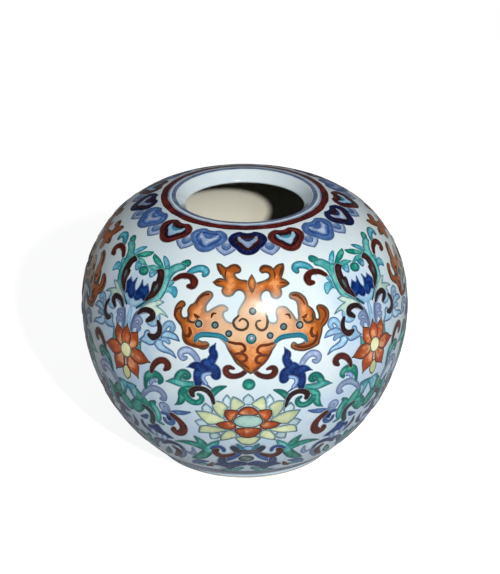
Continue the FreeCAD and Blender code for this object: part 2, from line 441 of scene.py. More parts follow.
@dataclass(frozen=True)
class Arc:
    """A round run of the outline about a centre, in millimetres and radians."""

    centre: tuple[float, float]
    radius: float
    start: float
    end: float

    def at(self, angle: float) -> tuple[float, float]:
        """The place at an angle."""
        across, up = self.centre
        return (across + self.radius * math.cos(angle), up + self.radius * math.sin(angle))

    def points(self, step: float) -> Profile:
        """Places along the arc, its end left out.

        Args:
            step: Greatest gap between places.

        Returns:
            Radius and height pairs.
        """
        count = max(3, math.ceil(abs(self.end - self.start) * self.radius / step))
        return [self.at(self.start + (self.end - self.start) * index / count) for index in range(count)]


@dataclass(frozen=True)
class PotOutline:
    """The glazed outline of the pot, with the same sizes as its solids, in millimetres."""

    belly_r: float = 50.0
    belly_z: float = 46.5
    upper_r: float = 42.5
    shoulder_r: float = 30.5
    shoulder_rise: float = 19.0
    throat_r: float = 17.8
    lip_slope: float = math.radians(46.0)
    crest_round: float = 1.6
    throat_round: float = 0.6
    wall: float = 3.9
    floor: float = 4.0
    floor_round: float = 16.0
    foot_r: float = 28.7
    foot_h: float = 2.6
    foot_step: float = 1.25
    foot_top_round: float = 0.8
    edge_round: float = 0.6
    recess: float = 3.2
    bare_z: float = 0.9
    bare_edge: float = 0.4
    crest_step: float = 0.15
    edge_step: float = 0.12
    glaze: float = 0.35
    collar_r: float = 22.0

    @property
    def edge_centre(self) -> tuple[float, float]:
        """Centre of the round at the body's lower edge."""
        return (self.foot_r + self.foot_step, self.foot_h + self.edge_round)

    @property
    def lower_r(self) -> float:
        """Radius of the arc from the lower edge to the belly."""
        reach = self.belly_r - self.edge_centre[0]
        rise = self.belly_z - self.edge_centre[1]
        return (reach**2 + rise**2 - self.edge_round**2) / (2 * (reach - self.edge_round))

    @property
    def lower_centre(self) -> tuple[float, float]:
        """Centre of the lower arc."""
        return (self.belly_r - self.lower_r, self.belly_z)

    @property
    def upper_centre(self) -> tuple[float, float]:
        """Centre of the arc above the belly."""
        return (self.belly_r - self.upper_r, self.belly_z)

    @property
    def shoulder_angle(self) -> float:
        """Angle at which the upper arc passes into the shoulder."""
        return math.asin(self.shoulder_rise / self.upper_r)

    @property
    def shoulder_centre(self) -> tuple[float, float]:
        """Centre of the shoulder arc."""
        reach = self.upper_r - self.shoulder_r
        turn = self.shoulder_angle
        return (
            self.upper_centre[0] + reach * math.cos(turn),
            self.upper_centre[1] + reach * math.sin(turn),
        )

    @property
    def collar_angle(self) -> float:
        """Angle on the shoulder arc where the painting starts."""
        return math.acos((self.collar_r - self.shoulder_centre[0]) / self.shoulder_r)

    @property
    def throat_centre(self) -> tuple[float, float]:
        """Centre of the round that turns the lip under into the ceiling."""
        across = self.throat_r + self.throat_round
        reach = self.shoulder_r - self.wall + self.throat_round
        away = across - self.shoulder_centre[0]
        return (across, self.shoulder_centre[1] + math.sqrt(reach**2 - away**2))

    @property
    def lip_end(self) -> tuple[float, float]:
        """Where the sloping lip passes into the round of the throat."""
        turn = self.lip_slope + math.pi / 2
        centre = self.throat_centre
        return (
            centre[0] + math.cos(turn) * self.throat_round,
            centre[1] + math.sin(turn) * self.throat_round,
        )

    @property
    def crest_centre(self) -> tuple[float, float]:
        """Centre of the round that blends the shoulder into the sloping lip."""
        centre = self.shoulder_centre
        along = (math.cos(self.lip_slope), math.sin(self.lip_slope))
        end = self.lip_end
        start = (end[0] + along[1] * self.crest_round, end[1] - along[0] * self.crest_round)
        gap = (start[0] - centre[0], start[1] - centre[1])
        half = gap[0] * along[0] + gap[1] * along[1]
        reach = self.shoulder_r - self.crest_round
        step = -half + math.sqrt(half**2 - gap[0] ** 2 - gap[1] ** 2 + reach**2)
        return (start[0] + along[0] * step, start[1] + along[1] * step)

    @property
    def crest_turn(self) -> float:
        """Angle at which the shoulder passes into the round of the crest."""
        centre = self.shoulder_centre
        crest = self.crest_centre
        return math.atan2(crest[1] - centre[1], crest[0] - centre[0])

    def outside(self, step: float) -> Profile:
        """The glazed outside, from the foot's bare edge up over the crest and down to the throat.

        Args:
            step: Greatest gap between places on the long arcs.

        Returns:
            Radius and height pairs.
        """
        edge = self.edge_centre
        edge_turn = math.atan2(edge[1] - self.lower_centre[1], edge[0] - self.lower_centre[0])
        crest = self.crest_centre
        centre = self.shoulder_centre
        crest_turn = self.crest_turn
        lip_turn = self.lip_slope + math.pi / 2
        throat = self.throat_centre
        under = math.atan2(centre[1] - throat[1], centre[0] - throat[0]) + 2 * math.pi
        foot_top = (self.foot_r + self.foot_top_round, self.foot_h - self.foot_top_round)
        upper = self.shoulder_angle
        places = [(self.foot_r, self.bare_z), (self.foot_r, self.bare_z + self.bare_edge)]
        places += Arc(foot_top, self.foot_top_round, math.pi, math.pi / 2).points(self.crest_step)
        places += [(foot_top[0], self.foot_h)]
        places += Arc(edge, self.edge_round, -math.pi / 2, edge_turn).points(self.edge_step)
        places += Arc(self.lower_centre, self.lower_r, edge_turn, 0.0).points(step)
        places += Arc(self.upper_centre, self.upper_r, 0.0, upper).points(step)
        places += Arc(centre, self.shoulder_r, upper, crest_turn).points(step)
        places += Arc(crest, self.crest_round, crest_turn, lip_turn).points(self.crest_step)
        lip_top = Arc(crest, self.crest_round, crest_turn, lip_turn).at(lip_turn)
        lip_end = self.lip_end
        for share in (0.0, 0.25, 0.5, 0.75):
            across = lip_top[0] + (lip_end[0] - lip_top[0]) * share
            places.append((across, lip_top[1] + (lip_end[1] - lip_top[1]) * share))
        round_under = Arc(throat, self.throat_round, lip_turn, under)
        return [*places, *round_under.points(self.edge_step), round_under.at(under)]

    def inside(self, step: float) -> Profile:
        """The glazed inside, from the throat down to the middle of the floor.

        Args:
            step: Greatest gap between places.

        Returns:
            Radius and height pairs.
        """
        centre = self.shoulder_centre
        throat = self.throat_centre
        ceiling = math.atan2(throat[1] - centre[1], throat[0] - centre[0])
        floor_z = self.recess + self.floor
        inner = self.lower_r - self.wall
        rise = floor_z + self.floor_round - self.lower_centre[1]
        across = self.lower_centre[0] + math.sqrt((inner - self.floor_round) ** 2 - rise**2)
        bowl = (across, floor_z + self.floor_round)
        bowl_turn = math.atan2(bowl[1] - self.lower_centre[1], bowl[0] - self.lower_centre[0])
        places = Arc(centre, self.shoulder_r - self.wall, ceiling, self.shoulder_angle).points(step)
        places += Arc(self.upper_centre, self.upper_r - self.wall, self.shoulder_angle, 0.0).points(step)
        places += Arc(self.lower_centre, inner, 0.0, bowl_turn).points(step)
        places += Arc(bowl, self.floor_round, bowl_turn, -math.pi / 2).points(step)
        places += [(across * share, floor_z) for share in (1.0, 0.66, 0.33)]
        return places + [(0.0, floor_z)]

    def on_glaze(self, down: np.ndarray) -> tuple[np.ndarray, np.ndarray, np.ndarray, np.ndarray]:
        """Where the glaze lies a given way down from the collar.

        Args:
            down: Distances along the outline from the start of the painting.

        Returns:
            Radius, height, and the outward direction's two parts.
        """
        top = self.collar_angle
        to_upper = (top - self.shoulder_angle) * self.shoulder_r
        to_belly = to_upper + self.shoulder_angle * self.upper_r
        to_crest = (top - self.crest_turn) * self.shoulder_r
        arcs = (
            (down < to_crest, self.crest_centre, self.crest_round, self.crest_turn, to_crest),
            (down < to_upper, self.shoulder_centre, self.shoulder_r, top, 0.0),
            (down < to_belly, self.upper_centre, self.upper_r, self.shoulder_angle, to_upper),
            (down >= to_belly, self.lower_centre, self.lower_r, 0.0, to_belly),
        )
        chosen = [arc[0] for arc in arcs]
        centre_r = np.select(chosen, [arc[1][0] for arc in arcs])
        centre_z = np.select(chosen, [arc[1][1] for arc in arcs])
        reach = np.select(chosen, [arc[2] for arc in arcs])
        turn = np.select(chosen, [arc[3] - (down - arc[4]) / arc[2] for arc in arcs])
        out_r = np.cos(turn)
        out_z = np.sin(turn)
        return centre_r + reach * out_r, centre_z + reach * out_z, out_r, out_z

    def squeeze(self, down: np.ndarray) -> np.ndarray:
        """How much narrower than at the belly a painted width is, a given way down."""
        return self.on_glaze(down)[0] / self.belly_r


POT = PotOutline()


def add_piece(
    name: str, mesh: bpy.types.Mesh, materials: Iterable[bpy.types.Material], node: str = ""
) -> None:
    """Link a mesh as a piece of the pot.

    Args:
        name: The piece's name.
        mesh: Its mesh.
        materials: Its materials.
        node: The solid that it stands for, if any.
    """
    for material in materials:
        mesh.materials.append(material)
    piece = bpy.data.objects.new(name, mesh)
    bpy.context.scene.collection.objects.link(piece)
    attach(piece, BODY)
    if node:
        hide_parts(node)
    log.info("%s: %d faces", name, len(mesh.polygons))


# Painting on the curved glaze


@dataclass(frozen=True)
class Stroke:
    """One brush stroke through places of (x, down, width); a width of 0 makes a pointed end."""

    paint: Paint
    places: Places
    lined: bool = True


@dataclass(frozen=True)
class Patch:
    """A filled shape through places of (x, down); a third value marks a pointed corner."""

    paint: Paint
    places: Places
    lined: bool = True


Mark = Stroke | Patch


def moved(marks: Iterable[Mark], rule: Callable[[float, float], tuple[float, float]]) -> list[Mark]:
    """The same marks with each place moved.

    Args:
        marks: Strokes and patches.
        rule: Gives the new x and down from the old ones.

    Returns:
        The moved marks.
    """
    return [
        type(mark)(mark.paint, tuple((*rule(*place[:2]), *place[2:]) for place in mark.places), mark.lined)
        for mark in marks
    ]


def mirrored(marks: Iterable[Mark], about: float = 0.0) -> list[Mark]:
    """The same marks on the other side of the upright line at an x."""
    return moved(marks, lambda x, down: (2 * about - x, down))


def shifted(marks: Iterable[Mark], across: float, lower: float = 0.0) -> list[Mark]:
    """The same marks moved across and down."""
    return moved(marks, lambda x, down: (x + across, down + lower))


def closed_shape(half: Places) -> Places:
    """A shape whose other side mirrors the half that is given, from its top to its bottom."""
    return (*half, *((-place[0], *place[1:]) for place in reversed(half) if place[0]))


def smooth_run(knots: np.ndarray, step: float) -> np.ndarray:
    """A smooth line through knots.

    Args:
        knots: One row for each knot; the first two columns are its place.
        step: Greatest gap between samples.

    Returns:
        Rows of samples from the first knot to the last.
    """
    first = 2 * knots[0] - knots[1]
    last = 2 * knots[-1] - knots[-2]
    around = np.vstack([first, knots, last])
    rows = []
    for index in range(len(knots) - 1):
        before, start, end, after = around[index : index + 4]
        count = max(2, math.ceil(float(np.hypot(*(end - start)[:2])) / step))
        share = (np.arange(count) / count)[:, None]
        bend = (2 * before - 5 * start + 4 * end - after) * share**2
        twist = (3 * start - before - 3 * end + after) * share**3
        rows.append(0.5 * (2 * start + (end - before) * share + bend + twist))
    rows.append(knots[-1:])
    return np.vstack(rows)


def smooth_loop(places: Places, step: float) -> np.ndarray:
    """A closed smooth line through places, pointed at those that have a third value.

    Args:
        places: The places in order round the shape.
        step: Greatest gap between samples.

    Returns:
        Rows of samples, the first not repeated at the end.
    """
    corners = [index for index, place in enumerate(places) if len(place) > 2]
    knots = np.array([place[:2] for place in places], dtype=float)
    total = len(knots)
    if not corners:
        run = smooth_run(np.vstack([knots[-2:], knots, knots[:3]]), step)
        middle = len(run) // 2
        off = np.hypot(*(run - knots[0]).T[:2])
        return run[int(np.argmin(off[:middle])) : middle + int(np.argmin(off[middle:]))]
    runs = []
    for index, corner in enumerate(corners):
        following = corners[(index + 1) % len(corners)]
        span = (following - corner) % total or total
        picked = [(corner + offset) % total for offset in range(span + 1)]
        runs.append(smooth_run(knots[picked], step)[:-1])
    return np.vstack(runs)


def smooth_step(low: float, high: float, value: np.ndarray) -> np.ndarray:
    """A soft ramp from 0 at low to 1 at high."""
    share = np.clip((value - low) / (high - low), 0.0, 1.0)
    return share * share * (3 - 2 * share)


def grid_faces(rows: int, columns: int) -> np.ndarray:
    """Corner numbers of the triangles between the places of a grid."""
    grid = np.arange(rows * columns).reshape(rows, columns)
    a, b, c, d = grid[:-1, :-1], grid[:-1, 1:], grid[1:, 1:], grid[1:, :-1]
    return np.vstack([np.stack(sides, axis=-1).reshape(-1, 3) for sides in ([a, b, c], [a, c, d])])


@dataclass(frozen=True)
class Panel:
    """One painted panel: the place of its bat, the room on each side, and the sway of its hand."""

    name: str
    axis: float
    right: float
    left: float
    sway: float

    def lay(self, x: np.ndarray, down: np.ndarray) -> tuple[np.ndarray, np.ndarray]:
        """Carry places of the drawing to places on the pot.

        Args:
            x: Distances from the panel's axis.
            down: Distances from the start of the painting.

        Returns:
            The same places round the pot and down it.
        """
        stretch = np.where(x > 0, self.right / DRAWN_RIGHT, self.left / DRAWN_LEFT)
        wave = SWAY_ACROSS * np.sin(0.19 * down + 0.12 * x + self.sway) * (self.sway > 0)
        drop = SWAY_DOWN * np.sin(0.17 * x - 0.1 * down + 2 * self.sway) * (self.sway > 0)
        return self.axis + x * stretch + wave, down + drop


DRAWN_RIGHT = 41.5
DRAWN_LEFT = 39.8
SWAY_ACROSS = 0.22
SWAY_DOWN = 0.2
PANELS = (
    Panel("front", 1.5, 41.5, 39.8, 0.0),
    Panel("right", 83.0, 38.3, 40.0, 1.3),
    Panel("back", 159.6, 38.3, 38.3, 2.9),
    Panel("left", -78.0, 39.7, 38.3, 4.4),
)


class Brushwork:
    """The marks of one painted piece, laid one over another on the glaze and joined in one mesh."""

    # Sizes in millimetres: lines, samples, and heights over the glaze
    LINE = 0.34
    STEP = 0.5
    PITCH = 0.62
    GROUND = 0.01
    RISE = 0.0035
    LINE_RISE = 0.0012
    SWELL = 0.006
    SINK = -0.012
    RIM = 0.1
    RIM_LEFT = 0.07
    CLEAR = 0.3
    ON_EDGE = 0.03
    # A ribbon's corners lie this far in from its edges, but no further than these shares of half its width
    INSETS = np.array([0.0, 0.06, 0.3, 0.75])
    SOFT_INSETS = np.array([0.0, 0.1, 0.24, 0.55])
    INSET_SHARES = np.array([1.0, 0.8, 0.55, 0.28])
    CAP_TURNS = np.radians([86.0, 62.0, 36.0])
    # The wash's depth inside a mark, and what its edges and tips add
    PALE = 0.2
    RIBBON_EDGE = 0.62
    RIBBON_TIP = 0.6
    PATCH_EDGE = 0.6
    PATCH_DEPTHS = (0.6, 1.7)
    LINE_TONE = 0.5
    FEATHER = 0.18
    FEATHER_THIN = 0.9
    # A run narrower than this at its end is pointed
    POINTED = 0.12
    # The tilt that makes a mark's edges look round, and the least face kept
    LEAN = 0.1
    NO_AREA = 1e-14

    def __init__(self, name: str, lay: PlaceMap) -> None:
        """Start an empty piece.

        Args:
            name: The piece's name.
            lay: Carries drawn places to places on the pot.
        """
        self.name = name
        self.lay = lay
        self.level = self.GROUND
        self.corners: list[np.ndarray] = []
        self.outward: list[np.ndarray] = []
        self.washes: list[np.ndarray] = []
        self.faces: list[np.ndarray] = []
        self.paints: list[np.ndarray] = []
        self.palette: list[Paint] = []
        self.total = 0
        self.strokes = 0

    def rise(self) -> float:
        """Go up to the next thin layer of paint."""
        self.level += self.RISE
        return self.level

    def put(self, paint: Paint, fields: Sequence[np.ndarray], faces: np.ndarray) -> None:
        """Put triangles of one enamel on the glaze.

        Args:
            paint: The enamel.
            fields: For the corners, their place across and down, height over the glaze, depth of the wash,
                thinness of the wash, and how far the surface leans towards greater x.
            faces: Corner numbers of the triangles.
        """
        x, down, lift, tone, thin, lean = fields
        around, below = self.lay(x, down)
        radius, height, out_r, out_z = POT.on_glaze(below)
        turn = around / POT.belly_r
        reach = radius + lift * out_r
        sine = np.sin(turn)
        cosine = np.cos(turn)
        corners = np.stack([reach * sine, -reach * cosine, height + lift * out_z], axis=1) * MM
        outward = np.stack([out_r * sine, -out_r * cosine, out_z], axis=1)
        side = np.stack([cosine, sine, np.zeros_like(turn)], axis=1)
        tilted = outward + side * lean[:, None]
        tilted /= np.linalg.norm(tilted, axis=1)[:, None]
        a, b, c = (corners[faces[:, index]] for index in range(3))
        facing = np.einsum("ij,ij->i", np.cross(b - a, c - a), outward[faces[:, 0]])
        kept = np.where((facing < 0)[:, None], faces[:, ::-1], faces)
        kept = kept[np.abs(facing) > self.NO_AREA]
        if paint not in self.palette:
            self.palette.append(paint)
        shift = 0.5 + 0.5 * math.sin(self.strokes * 2.399 + around[0] * 0.37)
        wash = np.stack([tone, thin, np.full_like(tone, shift), np.ones_like(tone)], axis=1)
        self.corners.append(corners)
        self.outward.append(tilted)
        self.washes.append(wash)
        self.faces.append(kept + self.total)
        self.paints.append(np.full(len(kept), self.palette.index(paint)))
        self.total += len(corners)
        self.strokes += 1

    def ribbon(
        self,
        paint: Paint,
        places: Places,
        more: float,
        level: float,
        wash: PlaceMap | None,
        soft: bool = False,
    ) -> None:
        """Lay a ribbon of enamel along a smooth line.

        Args:
            paint: The enamel.
            places: Places of (x, down, width).
            more: Width to add, for the line under a stroke.
            level: Height over the glaze.
            wash: Gives how thin and how much deeper the wash is at places, or None.
            soft: Whether the edges bleed into the glaze, as a line's do.
        """
        run = smooth_run(np.array(places, dtype=float), self.STEP)
        x, down, width = run.T
        width = np.clip(width, 0.0, None)
        gap_x = np.gradient(x) * POT.squeeze(down)
        gap_down = np.gradient(down)
        length = np.hypot(gap_x, gap_down) + 1e-9
        along = np.stack([gap_x / length, gap_down / length], axis=1)
        x, down, width, along = self.with_caps(x, down, width, along, more)
        half = width[:, None] / 2
        reach = np.maximum(half - (self.SOFT_INSETS if soft else self.INSETS), half * self.INSET_SHARES)
        offset = np.hstack([-reach, np.zeros_like(half), reach[:, ::-1]])
        squeeze = POT.squeeze(down)
        xs = x[:, None] - along[:, 1:2] * offset / squeeze[:, None]
        downs = down[:, None] + along[:, 0:1] * offset
        across = offset / (half + 1e-9)
        lift = level + self.SWELL * (1 - across**2)
        lift[:, [0, -1]] = self.SINK
        inset = half - np.abs(offset)
        thin = np.zeros_like(xs)
        if soft:
            tone = np.full_like(xs, self.LINE_TONE)
            thin = self.FEATHER_THIN * (1 - smooth_step(0.0, self.FEATHER, inset))
        else:
            edge = 1 - smooth_step(0.04, 0.62, inset)
            tip = 1 - smooth_step(0.3, 2.4, width)[:, None]
            tone = np.clip(self.PALE + self.RIBBON_EDGE * edge + self.RIBBON_TIP * tip, 0, 1)
        if wash is not None:
            more_thin, deeper = wash(xs, downs)
            thin = np.maximum(thin, more_thin * (0.6 if soft else 1.0))
            tone = np.clip(tone + deeper, 0, 1)
        lean = -along[:, 1:2] * self.LEAN * across**3
        fields = [part.reshape(-1) for part in (xs, downs, lift, tone, thin, lean)]
        self.put(paint, fields, grid_faces(*xs.shape))

    @staticmethod
    def with_caps(
        x: np.ndarray, down: np.ndarray, width: np.ndarray, along: np.ndarray, more: float
    ) -> tuple[np.ndarray, ...]:
        """Widen a run and round off the ends that aren't pointed.

        Args:
            x: Places across.
            down: Places down.
            width: Widths.
            along: Directions.
            more: Width that is added all along.

        Returns:
            The first four with rows added at each end.
        """
        squeeze = POT.squeeze(down)
        wide = width + more
        turns = Brushwork.CAP_TURNS
        parts = [(x, down, wide, along)]
        for end, sign in ((0, -1), (-1, 1)):
            reach = wide[end] / 2
            if width[end] < Brushwork.POINTED:
                reach = more * 0.9
            slide = np.sin(turns) * reach * sign
            cap = (
                x[end] + along[end, 0] * slide / squeeze[end],
                down[end] + along[end, 1] * slide,
                np.cos(turns) * wide[end],
                np.repeat(along[end][None, :], len(turns), axis=0),
            )
            if sign < 0:
                parts.insert(0, cap)
            else:
                parts.append(tuple(part[::-1] for part in cap))
        return tuple(np.concatenate([part[index] for part in parts]) for index in range(4))

    def patch(self, paint: Paint, places: Places, level: float, wash: PlaceMap | None) -> None:
        """Fill a closed shape with enamel.

        Args:
            paint: The enamel.
            places: The shape's places.
            level: Height over the glaze.
            wash: Gives how thin and how much deeper the wash is at places, or None.
        """
        loop = smooth_loop(places, self.STEP)
        squeeze = float(POT.squeeze(np.array([loop[:, 1].mean()]))[0])
        flat = loop * np.array([squeeze, 1.0])
        low = flat.min(axis=0)
        high = flat.max(axis=0)
        grid = np.mgrid[low[0] : high[0] : self.PITCH, low[1] : high[1] : self.PITCH].reshape(2, -1).T
        following = np.roll(flat, -1, axis=0)
        grid = grid[self.enclosed(grid, flat, following)]
        grid = grid[self.gap(grid, flat, following) > self.CLEAR]
        tangent = following - np.roll(flat, 1, axis=0)
        tangent /= np.linalg.norm(tangent, axis=1)[:, None] + 1e-9
        area = float(np.sum(flat[:, 0] * following[:, 1] - following[:, 0] * flat[:, 1]))
        turn = 1.0 if area > 0 else -1.0
        inward = np.stack([-tangent[:, 1], tangent[:, 0]], axis=1) * turn
        inset = flat + inward * self.RIM
        inset = inset[self.gap(inset, flat, following) > self.RIM_LEFT]
        inset = inset[self.enclosed(inset, flat, following)]
        every = np.vstack([flat, inset, grid])
        edges = [(index, (index + 1) % len(flat)) for index in range(len(flat))]
        order = list(range(len(flat)))[:: int(turn)]
        made = delaunay_2d_cdt([Vector(place) for place in every], edges, [order], 1, 1e-6)
        corners = np.array([tuple(place) for place in made[0]])
        faces = np.array([face for face in made[2] if len(face) == 3])
        away = self.gap(corners, flat, following)
        lift = np.where(away < self.ON_EDGE, self.SINK, level + self.SWELL * smooth_step(0.0, 1.2, away))
        depth = float(np.clip(0.5 * away.max(), *self.PATCH_DEPTHS))
        tone = self.PALE + self.PATCH_EDGE * (1 - smooth_step(0.05, depth, away))
        thin = np.zeros(len(corners))
        if wash is not None:
            thin, deeper = wash(corners[:, 0] / squeeze, corners[:, 1])
            tone = np.clip(tone + deeper, 0, 1)
        zero = np.zeros(len(corners))
        self.put(paint, (corners[:, 0] / squeeze, corners[:, 1], lift, tone, thin, zero), faces)

    @staticmethod
    def enclosed(points: np.ndarray, start: np.ndarray, end: np.ndarray) -> np.ndarray:
        """Which points lie inside a loop given by its sides' starts and ends."""
        count = np.zeros(len(points), dtype=int)
        for (x0, y0), (x1, y1) in zip(start, end):
            if y0 == y1:
                continue
            crosses = (points[:, 1] < y0) != (points[:, 1] < y1)
            at = x0 + (points[:, 1] - y0) / (y1 - y0) * (x1 - x0)
            count += crosses & (points[:, 0] < at)
        return count % 2 == 1

    @staticmethod
    def gap(points: np.ndarray, start: np.ndarray, end: np.ndarray) -> np.ndarray:
        """How far each point is from a loop's nearest side."""
        if not len(points):
            return np.zeros(0)
        side = end - start
        square = (side**2).sum(axis=1) + 1e-12
        rest = points[:, None, :] - start[None, :, :]
        share = np.clip((rest * side[None]).sum(axis=2) / square[None], 0, 1)
        off = rest - share[:, :, None] * side[None]
        return np.sqrt((off**2).sum(axis=2)).min(axis=1)

    def draw(self, marks: Sequence[Mark], wash: PlaceMap | None = None, wide: float = LINE) -> None:
        """Draw marks that share one line round them all, then their fills on top.

        Args:
            marks: Strokes and patches.
            wash: Gives how thin and how much deeper the wash is at places, or None.
            wide: Width of the line on each side.
        """
        level = self.rise()
        for index, mark in enumerate(marks):
            if not mark.lined:
                continue
            raised = level + index * self.LINE_RISE
            if isinstance(mark, Stroke):
                self.ribbon(mark.paint.line, mark.places, 2 * wide, raised, wash, True)
            else:
                self.edging(mark, wide, raised, wash)
        self.level = level + self.LINE_RISE * len(marks)
        for mark in marks:
            level = self.rise()
            if isinstance(mark, Stroke):
                self.ribbon(mark.paint, mark.places, 0.0, level, wash)
            else:
                self.patch(mark.paint, mark.places, level, wash)

    def edging(self, mark: Patch, wide: float, level: float, wash: PlaceMap | None) -> None:
        """Draw the line round a patch, half of it to be covered by the fill."""
        loop = smooth_loop(mark.places, self.STEP)
        closed = np.vstack([loop, loop[:1]])
        run = np.hstack([closed, np.full((len(closed), 1), 2 * wide)])
        self.ribbon(mark.paint.line, run, 0.0, level, wash, True)

    def dot(self, paint: Paint, x: float, down: float, width: float, height: float = 0.0) -> None:
        """Draw a round or oval dot with its line."""
        tall = height or width
        squeeze = float(POT.squeeze(np.array([down]))[0])
        turns = [index * math.pi / 5 for index in range(10)]
        places = [
            (x + math.cos(turn) * width / 2 / squeeze, down + math.sin(turn) * tall / 2) for turn in turns
        ]
        self.draw([Patch(paint, places)])

    def finish(self) -> None:
        """Join the marks in one mesh and add it to the pot."""
        corners = np.vstack(self.corners)
        faces = np.vstack(self.faces)
        mesh = bpy.data.meshes.new(self.name)
        mesh.vertices.add(len(corners))
        mesh.vertices.foreach_set("co", corners.reshape(-1))
        mesh.loops.add(len(faces) * 3)
        mesh.loops.foreach_set("vertex_index", faces.reshape(-1))
        mesh.polygons.add(len(faces))
        mesh.polygons.foreach_set("loop_start", np.arange(len(faces)) * 3)
        mesh.polygons.foreach_set("material_index", np.concatenate(self.paints))
        mesh.polygons.foreach_set("use_smooth", np.ones(len(faces), dtype=bool))
        mesh.update(calc_edges=True)
        wash = mesh.attributes.new("wash", "FLOAT_COLOR", "POINT")
        wash.data.foreach_set("color", np.vstack(self.washes).reshape(-1))
        mesh.normals_split_custom_set_from_vertices(np.vstack(self.outward))
        add_piece(self.name, mesh, [paint.value.material() for paint in self.palette])


# The glazed body


@dataclass
class GlazedBody:
    """The glaze outside and inside, turned finely, and the finishes of the solids that show beside them."""

    outside_step: float = 1.1
    inside_step: float = 1.6
    outside_turns: int = 288
    inside_turns: int = 144

    def layer(self, places: Profile, closes: bool) -> Profile:
        """Close an outline into the section of its glaze layer.

        Args:
            places: The glazed outline, clay on its left.
            closes: Whether the outline ends on the axis.

        Returns:
            The outline followed by its way back, one glaze depth further in.
        """
        run = np.array(places)
        along = np.gradient(run, axis=0)
        along /= np.linalg.norm(along, axis=1)[:, None]
        left = np.stack([-along[:, 1], along[:, 0]], axis=1)
        back = (run + left * POT.glaze)[::-1]
        if closes:
            back[0, 0] = 0.0
        return [*places, *(tuple(place) for place in back)]

    def turn(self, name: str, section: Profile, turns: int) -> bpy.types.Mesh:
        """Turn a closed section about the pot's axis.

        Args:
            name: The mesh's name.
            section: Radius and height pairs in millimetres.
            turns: How many steps go round.

        Returns:
            The mesh.
        """
        run = np.array(section) * MM
        angles = np.arange(turns) * 2 * math.pi / turns
        corners = np.stack(
            [
                np.outer(np.sin(angles), run[:, 0]),
                -np.outer(np.cos(angles), run[:, 0]),
                np.repeat(run[None, :, 1], turns, axis=0),
            ],
            axis=2,
        ).reshape(-1, 3)
        count = len(run)
        faces = []
        for step in range(turns):
            here = step * count
            there = (step + 1) % turns * count
            for index in range(count):
                following = (index + 1) % count
                if run[index, 0] < 1e-9 and run[following, 0] < 1e-9:
                    continue
                faces.append((here + index, there + index, there + following, here + following))
        mesh = bpy.data.meshes.new(name)
        mesh.from_pydata(corners.tolist(), [], faces)
        mesh.validate()
        self.weld(mesh)
        mesh.polygons.foreach_set("use_smooth", np.ones(len(mesh.polygons), dtype=bool))
        return mesh

    @staticmethod
    def weld(mesh: bpy.types.Mesh) -> None:
        """Join the corners that meet on the axis."""
        work = bmesh.new()
        work.from_mesh(mesh)
        bmesh.ops.remove_doubles(work, verts=work.verts, dist=1e-7)
        bmesh.ops.recalc_face_normals(work, faces=work.faces)
        work.to_mesh(mesh)
        work.free()

    @staticmethod
    def bloom(mesh: bpy.types.Mesh) -> None:
        """Mark where cobalt bled into the glaze between dense scrolls."""
        count = len(mesh.vertices)
        places = np.empty(count * 3)
        mesh.vertices.foreach_get("co", places)
        x, y, z = places.reshape(-1, 3).T / MM
        around = np.arctan2(x, -y) * POT.belly_r
        away = np.full(count, 99.0)
        for panel in PANELS:
            for edge in (panel.axis + panel.right, panel.axis - panel.left):
                gap = np.abs((around - edge + HALF_ROUND) % (2 * HALF_ROUND) - HALF_ROUND)
                away = np.minimum(away, gap)
        scrolls = (1 - smooth_step(7.0, 19.0, away)) * (1 - smooth_step(66.0, 76.0, z))
        lower = (1 - smooth_step(34.0, 44.0, z)) * 0.6
        mask = np.clip(np.maximum(scrolls * 0.75, lower), 0, 1)
        layer = mesh.attributes.new("bloom", "FLOAT", "POINT")
        layer.data.foreach_set("value", mask)

    def build(self) -> None:
        """Turn the two glazes, and dress the clay, the slip and the base."""
        outside = Glaze("outside_glaze", (219, 231, 233), (208, 224, 231), (178, 206, 234))
        lining = Glaze("lining_glaze", (253, 249, 228), (248, 242, 218), (236, 234, 214), (48, 46, 38))
        under = Glaze("base_glaze_skin", (214, 226, 230), (204, 220, 226), (196, 214, 224))
        section = self.layer(POT.outside(self.outside_step), False)
        skin = self.turn("glazed_outside", section, self.outside_turns)
        self.bloom(skin)
        add_piece("glazed_outside", skin, [outside.material()], "exterior_glaze")
        section = self.layer(POT.inside(self.inside_step), True)
        well = self.turn("glazed_lining", section, self.inside_turns)
        add_piece("glazed_lining", well, [lining.material()], "interior_glaze")
        clay = BareClay("bare_porcelain", (222, 214, 198), (196, 184, 164), (206, 176, 140)).material()
        slip = BareClay("fired_slip", (216, 206, 188), (190, 178, 156), (200, 172, 138)).material()
        finishes = dict.fromkeys(("foot_ring", "lower_body", "upper_body", "mouth_rim"), clay)
        finishes |= dict.fromkeys(("foot_luting", "belly_luting", "rim_luting"), slip)
        finishes["base_glaze"] = under.material()
        for node, finish in finishes.items():
            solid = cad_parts[node]
            solid.data.materials.clear()
            solid.data.materials.append(finish)
            log.info("%s: dressed", node)


HALF_ROUND = math.pi * POT.belly_r


def once_round(x: np.ndarray, down: np.ndarray) -> tuple[np.ndarray, np.ndarray]:
    """Lay places as they are, for pieces that go all the way round."""
    return x, down


